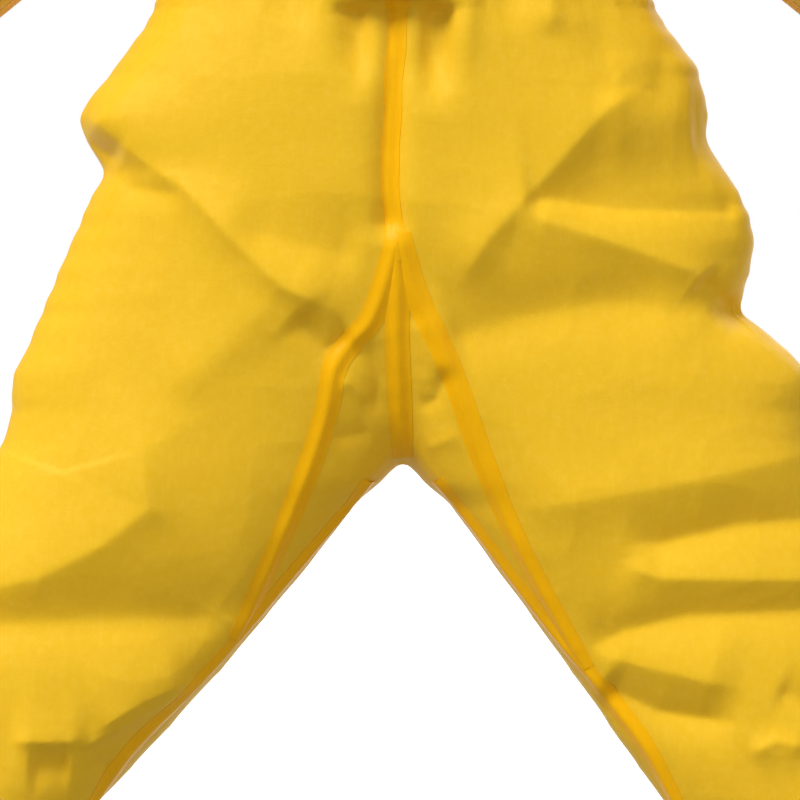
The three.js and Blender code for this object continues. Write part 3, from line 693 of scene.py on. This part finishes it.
def crumples(points, size, shift):
    bend = np.stack([soft_noise(points, size * 1.3, shift + k) for k in (3.3, 5.1, 8.7)], axis=1)
    bent = points + 0.25 * size * bend
    ridge = 1 - np.abs(soft_noise(bent, size, shift))
    return ridge * ridge


# Taken off so that the crumples rise and sink about the skin.
CRUMPLE_MEAN = 0.55


def add_crumples(bm):
    points = places(bm)
    outward = normals(bm)
    height = points[:, 2] - CROTCH_Z
    sculpted = (smoothstep(-0.42, -0.34, height) * (1 - smoothstep(0.50, 0.56, height))
                * (1 - smoothstep(0.46, 0.52, np.abs(points[:, 0])))
                * smoothstep(0.115, 0.065, points[:, 1]))
    free = 1 - 0.90 * sculpted
    flat_front = ((np.abs(points[:, 0]) < 0.075) & (points[:, 1] < -0.05)
                  & (points[:, 2] > -0.43) & (points[:, 2] < 0))
    drawn = points * (1, 1.3, 0.85)
    broad = crumples(drawn, 0.120, 3.1) - CRUMPLE_MEAN
    fine = crumples(drawn, 0.045, 7.7) - CRUMPLE_MEAN
    rise = free * (0.019 * broad + 0.0065 * fine)
    rise[flat_front] *= 0.15
    waist = pleats(points, (0, 0, WAIST_Z), (0, 0, 1), (1, 0, 0), 34, 0.0045, 0.040)
    waist *= (np.abs(points[:, 0]) < 0.30) & (np.abs(points[:, 2] - WAIST_Z) < 0.2) & ~flat_front
    rise += waist * (0.25 + 0.75 * free)
    for side, sign in SIDES:
        down, across = limb_axes(LEG_ANGLE, sign)
        ankle = pleats(points, leg_point(sign, LEG_LENGTH), down, across, 19, 0.0060, 0.055, 25)
        rise += ankle * (points[:, 2] < -1.15) * (points[:, 0] * sign > 0)
        down, across = limb_axes(SLEEVE_ANGLE, sign)
        wrist = pleats(points, sleeve_point(sign, SLEEVE_LENGTH), down, across, 15, 0.0045, 0.045, 25)
        rise += wrist * (points[:, 0] * sign > 0.5) * (points[:, 2] > -0.75)
    put(bm, points + outward * rise[:, None])


add_crumples(skin)

# The front is drawn flat beside the zip.
FRONT_FABRIC_Y = -0.1177


def flatten_front(bm):
    points = places(bm)
    beside = 1 - smoothstep(0.055, 0.085, np.abs(points[:, 0]))
    tall = smoothstep(-0.432, -0.412, points[:, 2]) * (1 - smoothstep(-0.002, 0.02, points[:, 2]))
    share = beside * tall * (points[:, 1] < -0.06)
    points[:, 1] += share * (FRONT_FABRIC_Y - points[:, 1])
    put(bm, points)


flatten_front(skin)
smooth(skin, [v for v in skin.verts if v.co.z > WAIST_Z - 0.05 or v.co.y > 0], 0.4)
flatten_front(skin)
surface = BVHTree.FromBMesh(skin)

# ---------------------------------------------------------------- the sewn panels
# Each panel is cut from the skin along its seams and given the fabric's thickness.
FABRIC_THICKNESS = 0.0006
LEG_CUT = 0.240
SLEEVE_CUT = 0.190
# Nothing of a sleeve or its armhole lies further than this from their middles.
ARMHOLE_REACH = 0.165
ZIP_GAP = 0.0085
ZIP_BOTTOM_Z = -0.408
HOOD_CROWN_HALF = 0.058
FACE = dict(centre=0.132, half_width=0.078, half_height=0.106)
GUSSET_EDGES = {
    1: ((0.000, 0.205), (0.012, 0.164), (0.040, 0.113), (0.057, 0.067), (0.080, 0.000),
        (0.119, -0.093), (0.176, -0.195)),
    -1: ((0.008, 0.205), (0.029, 0.141), (0.050, 0.121), (0.071, 0.094), (0.075, 0.050),
         (0.105, -0.038), (0.160, -0.164)),
}


def split(bm, where, normal, **clearing):
    """The whole mesh gets an edge where a plane meets it."""
    everything = bm.verts[:] + bm.edges[:] + bm.faces[:]
    bmesh.ops.bisect_plane(bm, geom=everything, plane_co=where, plane_no=normal, **clearing)


def trimmed(bm, *planes):
    """A copy of the skin, cut by planes. A plane is a point and the way towards the part that is kept."""
    piece = bm.copy()
    for where, keep in planes:
        split(piece, where, keep, clear_inner=True)
    return piece


def scored(bm, where, normal, chosen):
    """The faces that are chosen get an edge where a plane meets them."""
    faces = [face for face in bm.faces if chosen(face.calc_center_median())]
    parts = faces + list({e for f in faces for e in f.edges}) + list({v for f in faces for v in f.verts})
    if faces:
        bmesh.ops.bisect_plane(bm, geom=parts, plane_co=where, plane_no=normal)


def without(bm, chosen):
    unwanted = [face for face in bm.faces if chosen(face.calc_center_median())]
    bmesh.ops.delete(bm, geom=unwanted, context="FACES")
    return bm


def gusset_reach(sign, height):
    edge = GUSSET_EDGES[sign]
    outs, heights = zip(*reversed(edge))
    return np.interp(height, heights, outs, left=-1, right=-1)


def in_gusset(point):
    sign = 1 if point.x > 0 else -1
    height = point.z - CROTCH_Z
    edge = GUSSET_EDGES[sign]
    return edge[-1][1] < height < edge[0][1] and abs(point.x) < gusset_reach(sign, height)


def score_gusset(bm, sign):
    edge = GUSSET_EDGES[sign]
    for (x1, h1), (x2, h2) in zip(edge[:-1], edge[1:]):
        scored(bm, (sign * x1, 0, CROTCH_Z + h1), (h1 - h2, 0, -sign * (x1 - x2)),
               lambda c: h2 - 0.004 < c.z - CROTCH_Z < h1 + 0.004 and abs(abs(c.x) - (x1 + x2) / 2) < 0.05)


def finish_mesh(bm, name, material):
    """A cut panel becomes an object with smooth faces and crisp cut edges."""
    bmesh.ops.dissolve_degenerate(bm, dist=0.00002, edges=bm.edges[:])
    for edge in bm.edges:
        edge.smooth = not edge.is_boundary
    for face in bm.faces:
        face.smooth = True
    obj = object_from(bm, name)
    obj.data.materials.append(material)
    return obj


def thickened(obj, thickness):
    """Thickness is added to the inside, so the outer face stays where it is."""
    solid = obj.modifiers.new("thickness", "SOLIDIFY")
    solid.thickness = thickness
    solid.offset = -1
    solid.use_even_offset = False
    return obj


def over_hip(obj):
    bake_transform(obj)


def over_knee(obj):
    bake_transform(obj)


def over_shoulder(obj):
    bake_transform(obj)


def over_elbow(obj):
    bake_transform(obj)


def over_neck(obj):
    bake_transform(obj)


def panel(bm, name, nodes):
    obj = thickened(finish_mesh(bm, name, coated_fabric), FABRIC_THICKNESS)
    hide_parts(*nodes)
    return obj


def beside_zip(centre, above):
    return centre.y < 0 and abs(centre.x) < 0.03 and centre.z > above


below_waist = ((0, 0, WAIST_Z), (0, 0, -1))
above_waist = ((0, 0, WAIST_Z), (0, 0, 1))
below_neck = ((0, 0, 0), (0, 0, -1))
above_neck = ((0, 0, 0), (0, 0, 1))

for side, sign in SIDES:
    half = ((0, 0, 0), (sign, 0, 0))
    leg_down, _ = limb_axes(LEG_ANGLE, sign)
    sleeve_down, _ = limb_axes(SLEEVE_ANGLE, sign)
    leg_cut = leg_point(sign, LEG_CUT)
    sleeve_cut = sleeve_point(sign, SLEEVE_CUT)

    def is_sleeve(c):
        off_axis = (c - sleeve_point(sign, 0.3)).dot(limb_axes(SLEEVE_ANGLE, sign)[1])
        return abs(off_axis) < ARMHOLE_REACH and abs(c.x) > 0.34 and c.z > -0.70

    half_skin = trimmed(skin, half)
    lower = trimmed(half_skin, below_waist, (leg_cut, -leg_down))
    lower = without(lower, is_sleeve)
    scored(lower, (sign * ZIP_GAP, 0, 0), (1, 0, 0), lambda c: beside_zip(c, ZIP_BOTTOM_Z))
    scored(lower, (0, 0, ZIP_BOTTOM_Z), (0, 0, 1), lambda c: beside_zip(c, ZIP_BOTTOM_Z - 0.02))
    lower = without(lower, lambda c: c.y < 0 and abs(c.x) < ZIP_GAP and c.z > ZIP_BOTTOM_Z)
    gusset_top = (0, 0, CROTCH_Z + GUSSET_EDGES[sign][0][1])
    split(lower, gusset_top, (0, 0, 1))
    crotch = trimmed(lower, (gusset_top, (0, 0, -1)))
    lower = without(lower, lambda c: c.z < gusset_top[2])
    score_gusset(crotch, sign)
    gusset = without(crotch.copy(), lambda c: not in_gusset(c))
    crotch = without(crotch, in_gusset)
    joined = bpy.data.meshes.new("crotch_part")
    crotch.to_mesh(joined)
    crotch.free()
    lower.from_mesh(joined)
    bpy.data.meshes.remove(joined)
    on_the_cut = [v for v in lower.verts if abs(v.co.z - gusset_top[2]) < 0.0001]
    bmesh.ops.remove_doubles(lower, verts=on_the_cut, dist=0.00002)
    over_hip(panel(lower, f"lower_body_{side}", [f"thigh_{side}"]))
    for face_name, towards in (("front", -1), ("back", 1)):
        strip = trimmed(gusset, ((0, 0, 0), (0, towards, 0)))
        nodes = [f"gusset_{face_name}_{side}"] + ([f"gusset_leg_{side}"] if face_name == "front" else [])
        over_hip(panel(strip, f"{face_name}_gusset_{side}", nodes))
    gusset.free()

    leg = trimmed(half_skin, (leg_cut, leg_down), (leg_point(sign, LEG_LENGTH), -leg_down))
    leg = without(leg, is_sleeve)
    over_knee(panel(leg, f"leg_{side}_fabric", [f"lower_leg_{side}"]))

    upper = trimmed(half_skin, above_waist, below_neck)
    split(upper, sleeve_cut, sleeve_down)
    upper = without(upper, lambda c: (c - sleeve_cut).dot(sleeve_down) > 0 and is_sleeve(c))
    scored(upper, (sign * ZIP_GAP, 0, 0), (1, 0, 0), lambda c: beside_zip(c, ZIP_BOTTOM_Z))
    upper = without(upper, lambda c: c.y < 0 and abs(c.x) < ZIP_GAP and c.z > WAIST_Z - 0.03)
    over_shoulder(panel(upper, f"upper_body_{side}", [f"trunk_{side}"]))

    sleeve = trimmed(half_skin, (sleeve_cut, sleeve_down), (sleeve_point(sign, SLEEVE_LENGTH), -sleeve_down))
    sleeve = without(sleeve, lambda c: not is_sleeve(c))
    over_elbow(panel(sleeve, f"sleeve_{side}", [f"upper_sleeve_{side}", f"lower_sleeve_{side}"]))
    half_skin.free()


# ---------------------------------------------------------------- hood
# Three panels: a crown strip from the forehead over to the nape, and a side panel on each side.
# The face opening is cut out of all three.
def face_share(point):
    return math.hypot(point.x / FACE["half_width"], (point.z - FACE["centre"]) / FACE["half_height"])


hood = trimmed(skin, above_neck)
hood = without(hood, lambda c: c.y < -0.02 and face_share(c) < 1)
for vert in hood.verts:
    if vert.is_boundary and vert.co.z > 0.01 and vert.co.y < -0.02:
        share = face_share(vert.co)
        vert.co.x /= share
        vert.co.z = FACE["centre"] + (vert.co.z - FACE["centre"]) / share
for name, planes, nodes in (
    ("hood_crown_panel", (((-HOOD_CROWN_HALF, 0, 0), (1, 0, 0)), ((HOOD_CROWN_HALF, 0, 0), (-1, 0, 0))),
     ["hood_crown"]),
    ("hood_left_panel", (((HOOD_CROWN_HALF, 0, 0), (1, 0, 0)),), ["hood_left"]),
    ("hood_right_panel", (((-HOOD_CROWN_HALF, 0, 0), (-1, 0, 0)),), ["hood_right"]),
):
    over_neck(panel(trimmed(hood, *planes), name, nodes))
hood.free()

# ---------------------------------------------------------------- seam tape
# Every seam is covered by a film tape, heat-sealed over it. The seam's turned edge lies beneath
# and lifts the tape's middle into a low ridge, with its two sides sloping down to the fabric.
TAPE_WIDTH = 0.025
TAPE_STEP = 0.005
TAPE_PROUD = 0.0005
TAPE_RIDGE = 0.0034

seam_film, film_tree, film_shader = new_material("seam_film")
film_tint, film_height = add_nonwoven(film_tree, Streaks=0.5)
add_colour(film_tree, film_shader, film_tint, (0.93, 0.455, 0.000), (0.99, 0.525, 0.000), (0.3, 0.6))
add_relief(film_tree, film_shader, film_height, 0.35, 0.0010)
film_shader.inputs["Roughness"].default_value = 0.40
film_shader.inputs["Specular IOR Level"].default_value = COATING_SHINE


def rounded_path(points, step):
    """Corners are cut three times, then the line is walked in even steps."""
    line = [Vector(p) for p in points]
    for _ in range(3):
        softer = [line[0]]
        for a, b in zip(line[:-1], line[1:]):
            softer += [a.lerp(b, 0.25), a.lerp(b, 0.75)]
        line = softer + [line[-1]]
    spans = [(b - a).length for a, b in zip(line[:-1], line[1:])]
    total = sum(spans)
    count = max(2, round(total / step))
    walked = []
    index, before = 0, 0.0
    for i in range(count + 1):
        target = total * i / count
        while index < len(spans) - 1 and before + spans[index] < target:
            before += spans[index]
            index += 1
        share = min(1, (target - before) / max(spans[index], 1e-9))
        walked.append(line[index].lerp(line[index + 1], share))
    return walked


def cast(point, direction, far=0.4):
    """The place on the skin straight behind a point, or None."""
    direction = Vector(direction).normalized()
    return surface.ray_cast(Vector(point) - direction * far, direction)[0]


def from_inside(point, direction):
    return surface.ray_cast(Vector(point), Vector(direction).normalized())[0]


def around(centre, first, second, count, start=0.0, stop=360.0):
    """Places on the skin round a centre, in the plane of two directions."""
    found = []
    for i in range(count + 1):
        angle = math.radians(start + (stop - start) * i / count)
        direction = Vector(first) * math.cos(angle) + Vector(second) * math.sin(angle)
        hit = from_inside(centre, direction)
        if hit is not None:
            found.append(hit)
    return found


STRIP_COLUMNS = 8
FILM_THICKNESS = 0.0004
CASING_THICKNESS = 0.0006


def laid_strip(name, path, width, rise, closed, material, thickness):
    """A strip that follows the skin along a path. rise(share along, share across) lifts it."""
    count = len(path)

    def beside(i):
        """A place along the path, carried round a closed path or held at an open path's end."""
        return i % (count - 1) if closed else min(max(i, 0), count - 1)

    bm = bmesh.new()
    bmesh.ops.create_grid(bm, x_segments=count - 1, y_segments=STRIP_COLUMNS, size=1)
    feet = [surface.find_nearest(point)[:2] for point in path]
    smooth_normals = []
    for i in range(count):
        total = Vector()
        for k in range(-3, 4):
            total += feet[beside(i + k)][1]
        smooth_normals.append(total.normalized())
    for vert in bm.verts:
        i = round((vert.co.x + 1) / 2 * (count - 1))
        across = vert.co.y
        normal = smooth_normals[i]
        along = (feet[beside(i + 1)][0] - feet[beside(i - 1)][0]).normalized()
        side_way = along.cross(normal).normalized()
        foot, foot_normal, _, _ = surface.find_nearest(feet[i][0] + side_way * across * width / 2)
        out = (foot_normal + normal).normalized()
        vert.co = foot + out * (TAPE_PROUD + rise(i / (count - 1), across))
    if closed:
        bmesh.ops.remove_doubles(bm, verts=bm.verts, dist=0.0002)
    smooth(bm, [v for v in bm.verts if not v.is_boundary], 0.3)
    bm.normal_update()
    sample = bm.faces[:][::7]
    if sum(f.normal.dot(surface.find_nearest(f.calc_center_median())[1]) for f in sample) < 0:
        bmesh.ops.reverse_faces(bm, faces=bm.faces)
    return thickened(finish_mesh(bm, name, material), thickness)


def tape_ridge(along, across):
    return TAPE_RIDGE * max(0, 1 - abs(across) * 1.25)


def tape(name, path, nodes, closed=False, width=TAPE_WIDTH):
    obj = laid_strip(name, path, width, tape_ridge, closed, seam_film, FILM_THICKNESS)
    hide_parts(*nodes)
    return obj


def line_on_skin(points, towards):
    """A line on the skin, from x and height above the crotch, seen along y."""
    walked = rounded_path([(x, 0, CROTCH_Z + h) for x, h in points], TAPE_STEP)
    hits = (cast((p.x, 0, p.z), (0, towards, 0)) for p in walked)
    return [hit for hit in hits if hit is not None]


def front_line(points):
    return line_on_skin(points, 1)


def back_line(points):
    return line_on_skin(points, -1)


# A ray that starts inside a sleeve and goes further than this has met the body or a leg.
UNDERARM_REACH = 0.16
# Tapes of two joined panels lap by this much either side of the cut.
TAPE_LAP = 0.003

# The inseams run down the inner front of the thighs.
INSEAM_FRONT = {
    1: ((0.034, -0.022), (0.059, -0.051), (0.121, -0.134), (0.162, -0.188), (0.196, -0.226),
        (0.217, -0.253), (0.246, -0.290), (0.269, -0.332), (0.277, -0.348)),
    -1: ((0.034, -0.022), (0.049, -0.042), (0.118, -0.123), (0.152, -0.164), (0.187, -0.205),
         (0.226, -0.246), (0.270, -0.287), (0.301, -0.328), (0.312, -0.346)),
}

front_rise = front_line([(-0.006, 0.474), (-0.008, 0.400), (-0.010, 0.350), (-0.014, 0.280),
                         (-0.009, 0.235), (-0.005, 0.200)])
front_centre = front_line([(-0.006, 0.205), (-0.006, 0.120), (-0.003, 0.060), (0.000, 0.004)])
back_rise = back_line([(0, 0.860), (0, 0.60), (0, 0.35), (0, 0.200)])
back_centre = back_line([(0, 0.205), (0, 0.100), (0, 0.004)])
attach(tape("rise_tape_front", front_rise, ["front_rise_tape"]), "trunk")
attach(tape("gusset_tape_front_centre", front_centre, ["gusset_front_tape"]), "trunk")
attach(tape("rise_tape_back", back_rise, ["back_rise_tape"]), "trunk")
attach(tape("gusset_tape_back_centre", back_centre, ["gusset_back_tape"]), "trunk")
for side, sign in SIDES:
    edge = [(sign * x, h) for x, h in GUSSET_EDGES[sign]]
    start = [(-0.004, 0.225)]
    beyond = [(sign * (abs(edge[-1][0]) + 0.010), edge[-1][1] - 0.018)]
    over_hip(tape(f"gusset_tape_front_{side}", front_line(start + edge[1:] + beyond),
                  [f"gusset_side_tape_front_{side}", f"leg_gusset_tape_front_{side}"]))
    over_hip(tape(f"gusset_tape_back_{side}", back_line([(0, 0.225)] + edge[1:]),
                  [f"gusset_side_tape_back_{side}", f"leg_gusset_tape_back_{side}"]))
    leg_down, outward = limb_axes(LEG_ANGLE, sign)
    path = []
    for hit in front_line([(sign * x, h) for x, h in INSEAM_FRONT[sign]]):
        path.append(((hit - leg_point(sign, 0.0)).dot(leg_down), hit))
    last_along, last = path[-1]
    steps = round((LEG_LENGTH - 0.020 - last_along) / TAPE_STEP)
    for i in range(1, steps + 1):
        along = last_along + TAPE_STEP * i
        toward_front = last.y * (1 - smoothstep(last_along, last_along + 0.25, along))
        hit = from_inside(leg_point(sign, along, 0.0, toward_front), -outward)
        if hit is not None:
            path.append((along, hit))
    thigh = [hit for along, hit in path if along < LEG_CUT + TAPE_LAP]
    shin = [hit for along, hit in path if along > LEG_CUT - TAPE_LAP]
    over_hip(tape(f"inseam_tape_thigh_{side}", thigh, [f"inseam_tape_upper_{side}"]))
    over_knee(tape(f"inseam_tape_shin_{side}", shin, [f"inseam_tape_lower_{side}"]))

    _, outward = limb_axes(SLEEVE_ANGLE, sign)
    path = []
    for i in range(round(0.60 / TAPE_STEP)):
        along = 0.085 + TAPE_STEP * i
        if along < SLEEVE_LENGTH - 0.018:
            middle = sleeve_point(sign, along)
            hit = from_inside(middle, -outward)
            if hit is not None and (hit - middle).length < UNDERARM_REACH:
                path.append((along, hit))
    upper_arm = [hit for along, hit in path if along < SLEEVE_CUT + TAPE_LAP]
    lower_arm = [hit for along, hit in path if along > SLEEVE_CUT - TAPE_LAP]
    over_shoulder(tape(f"underarm_tape_body_{side}", upper_arm, [f"underarm_tape_upper_{side}"]))
    over_elbow(tape(f"underarm_tape_sleeve_{side}", lower_arm, [f"underarm_tape_lower_{side}"]))

    top = Vector((sign * SHOULDER[0], 0, SHOULDER[1]))
    bottom = Vector((sign * ARMPIT[0], 0, ARMPIT[1]))
    middle = (top + bottom) / 2
    ring = around(middle, (top - bottom).normalized(), (0, 1, 0), 110)
    armhole = [p for p in ring if (p - middle).length < ARMHOLE_REACH]
    armhole_tape = tape(f"armhole_tape_round_{side}", armhole, [f"armhole_tape_{side}"], closed=True)
    over_shoulder(armhole_tape)

neck_round = around((0, -0.020, -0.011), (1, 0, 0), (0, 1, 0), 110)


def at_zip(point):
    return point.y < 0 and abs(point.x) < ZIP_GAP + 0.003


split_at = next(i for i, p in enumerate(neck_round) if at_zip(p))
ordered = [p for p in neck_round[split_at:] + neck_round[1:split_at] if not at_zip(p)]
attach(tape("neck_tape_round", ordered, ["neck_tape"], width=0.020), "trunk")
for side, sign in SIDES:
    hood_seam = around((sign * HOOD_CROWN_HALF, 0, 0.120), (0, -1, 0), (0, 0, 1), 100, 34, 250)
    hood_seam = [p for p in hood_seam if p.z > 0.004 and abs(abs(p.x) - HOOD_CROWN_HALF) < 0.004
                 and (p.y > -0.02 or face_share(p) > 1.02)]
    over_neck(tape(f"hood_seam_tape_{side}", hood_seam, [f"hood_tape_{side}"]))

# ---------------------------------------------------------------- elastics
# Narrow casings of the same fabric, gathered on elastic cord, at the waist, face, wrists and ankles.
# Their ruffles are closest where the elastic is shortest.
# The casings' cloth is the panels' fabric coloured darker: painted shade among the gathers.
gathered_cloth_painted_shade = fabric_material("gathered_cloth_painted_shade", (0.86, 0.51, 0.034), (0.74, 0.41, 0.018), 0.62, 0.9)


GATHER_SWELL = 0.0016


def gathers(count, depth):
    def rise(along, across):
        wave = math.sin(2 * math.pi * count * along + 0.8 * math.sin(2 * math.pi * 5 * along))
        crown = math.sqrt(max(0, 1 - across * across))
        return GATHER_SWELL * crown + depth * (0.5 + 0.5 * wave) * (0.35 + 0.65 * crown)
    return rise


def elastic(name, path, width, count, nodes, closed=True, depth=0.0016):
    rise = gathers(count, depth)
    obj = laid_strip(name, path, width, rise, closed, gathered_cloth_painted_shade, CASING_THICKNESS)
    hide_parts(*nodes)
    return obj


for side, sign in SIDES:
    start, stop = (-62, 90) if sign > 0 else (90, 242)
    waist = around((0, 0, WAIST_Z), (1, 0, 0), (0, 1, 0), 260, start, stop)
    waist_gathers = elastic(f"waist_gathers_{side}", waist, 0.022, 24, [f"waist_elastic_{side}"],
                            closed=False)
    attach(waist_gathers, "trunk")
    across = limb_axes(LEG_ANGLE, sign)[1]
    ankle = around(leg_point(sign, LEG_LENGTH - 0.009), across, (0, 1, 0), 240)
    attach(elastic(f"ankle_gathers_{side}", ankle, 0.016, 34, [f"ankle_elastic_{side}"]), f"shin_{side}")
    across = limb_axes(SLEEVE_ANGLE, sign)[1]
    wrist = around(sleeve_point(sign, SLEEVE_LENGTH - 0.009), across, (0, 1, 0), 200)
    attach(elastic(f"wrist_gathers_{side}", wrist, 0.016, 26, [f"wrist_elastic_{side}"]), f"forearm_{side}")
face_edge = []
for i in range(261):
    angle = 2 * math.pi * i / 260
    x = 1.045 * FACE["half_width"] * math.cos(angle)
    z = FACE["centre"] + 1.035 * FACE["half_height"] * math.sin(angle)
    face_edge.append(cast((x, 0, z), (0, 1, 0)))
over_neck(elastic("face_gathers", face_edge, 0.012, 46, ["face_elastic"], depth=0.0014))

# ---------------------------------------------------------------- zip
# A coil zip: two woven tapes, each with a row of moulded teeth, a bottom stop, a slider and its
# pull. The teeth mesh along the middle.
zip_plastic, zip_tree, zip_shader = new_material("moulded_zip")
zip_speck = add_noise(zip_tree, object_place(zip_tree), 1500, 2)
add_colour(zip_tree, zip_shader, zip_speck, (0.70, 0.37, 0.012), (0.80, 0.46, 0.020))
add_relief(zip_tree, zip_shader, zip_speck, 0.25, 0.0002)
zip_shader.inputs["Roughness"].default_value = 0.33

zip_weave, weave_tree, weave_shader = new_material("woven_zip_tape")
weave_place = object_place(weave_tree)
threads = []
for bands in ("X", "Z"):
    wave = weave_tree.nodes.new("ShaderNodeTexWave")
    wave.bands_direction = bands
    wave.inputs["Scale"].default_value = 420
    weave_tree.links.new(weave_place, wave.inputs["Vector"])
    threads.append(wave.outputs["Fac"])
woven = math_node(weave_tree, "MULTIPLY", threads[0], threads[1])
add_colour(weave_tree, weave_shader, woven, (0.58, 0.29, 0.008), (0.80, 0.46, 0.022))
add_relief(weave_tree, weave_shader, woven, 0.6, 0.0003)
weave_shader.inputs["Roughness"].default_value = 0.8


def dress(node, material):
    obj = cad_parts[node]
    obj.data.materials.clear()
    obj.data.materials.append(material)


for node in ("zip_tape_left", "zip_tape_right"):
    dress(node, zip_weave)
for node in ("zip_slider", "zip_pull", "zip_bottom_stop"):
    dress(node, zip_plastic)

TOOTH_PITCH = 0.0026
TOOTH_SIZE = (0.0030, 0.0026, 0.0015)
tooth = bmesh.new()
bmesh.ops.create_cube(tooth, size=1)
bmesh.ops.scale(tooth, verts=tooth.verts, vec=TOOTH_SIZE)
bmesh.ops.bevel(tooth, geom=tooth.edges[:], offset=0.0004, segments=1, profile=0.5, affect="EDGES",
                material=-1)
tooth_mesh = bpy.data.meshes.new("zip_tooth")
tooth.to_mesh(tooth_mesh)
tooth.free()
for side, sign in SIDES:
    low_corner, high_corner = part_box(f"zip_coil_{side}")
    teeth = bmesh.new()
    for i in range(int((high_corner[2] - low_corner[2]) / TOOTH_PITCH)):
        teeth.from_mesh(tooth_mesh)
        teeth.verts.ensure_lookup_table()
        z = low_corner[2] + (i + (0.75 if sign > 0 else 0.25)) * TOOTH_PITCH
        where = (sign * 0.0016, (low_corner[1] + high_corner[1]) / 2, z)
        bmesh.ops.translate(teeth, verts=teeth.verts[-len(tooth_mesh.vertices):], vec=where)
    for face in teeth.faces:
        face.smooth = False
    row = object_from(teeth, f"zip_teeth_{side}")
    row.data.materials.append(zip_plastic)
    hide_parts(f"zip_coil_{side}")
    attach(row, "trunk")

# ---------------------------------------------------------------- storm flap
# A single sheet over the zip, sewn down on the wearer's left and stuck down on the right by an
# adhesive strip under a peel-off film.
FLAP_TOP = -0.056
FLAP_BOTTOM = -0.420
FLAP_SEWN_X = 0.045
FLAP_FREE_X = -0.049
FLAP_SLOPE = 0.016
FLAP_CLOTH = 0.0009
STITCH_LINES = (FLAP_FREE_X + 0.006, FLAP_SEWN_X - 0.004)
STITCH_WIDTH = 0.0009
flap_low, flap_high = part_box("storm_flap")
flap = bmesh.new()
bmesh.ops.create_grid(flap, x_segments=48, y_segments=150, size=1)
for vert in flap.verts:
    share = (vert.co.x + 1) / 2
    x = FLAP_FREE_X + share * (FLAP_SEWN_X - FLAP_FREE_X)
    height = (vert.co.y + 1) / 2
    z = FLAP_BOTTOM + height * (FLAP_TOP - FLAP_BOTTOM)
    top_y = flap_low[1] + 0.0008
    slope = smoothstep(FLAP_SEWN_X, FLAP_SEWN_X - FLAP_SLOPE, x)
    y = flap_high[1] - 0.0004 + (top_y - flap_high[1]) * slope
    wave = 0.0012 * math.sin(24 * z + 3.0) * math.sin(9 * z + 60 * x) + 0.0009 * math.sin(61 * z - 40 * x)
    free_edge = smoothstep(0.3, 0.0, share)
    y += slope * (wave * (0.5 + 0.7 * free_edge) + 0.0006)
    near_end = max(smoothstep(0.985, 1.0, height), smoothstep(0.015, 0.0, height))
    y += slope * 0.0008 * near_end
    stitch = sum(math.exp(-(((x - at) / STITCH_WIDTH) ** 2)) for at in STITCH_LINES)
    y += 0.0005 * stitch
    vert.co = (x, y, z)
bmesh.ops.reverse_faces(flap, faces=[f for f in flap.faces if f.normal.y > 0])
flap.normal_update()
if sum(f.normal.y for f in flap.faces) > 0:
    bmesh.ops.reverse_faces(flap, faces=flap.faces)
flap_cloth = thickened(finish_mesh(flap, "storm_flap_cloth", coated_fabric), FLAP_CLOTH)
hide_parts("storm_flap")
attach(flap_cloth, "flap")

release_film, release_tree, release_shader = new_material("release_film")
release_place = stretched(release_tree, object_place(release_tree), (1, 1, 0.15))
release_speck = add_noise(release_tree, release_place, 260, 3)
add_colour(release_tree, release_shader, release_speck, (0.76, 0.73, 0.64), (0.88, 0.86, 0.80))
add_relief(release_tree, release_shader, release_speck, 0.2, 0.0004)
release_shader.inputs["Roughness"].default_value = 0.45
dress("flap_adhesive_strip", release_film)
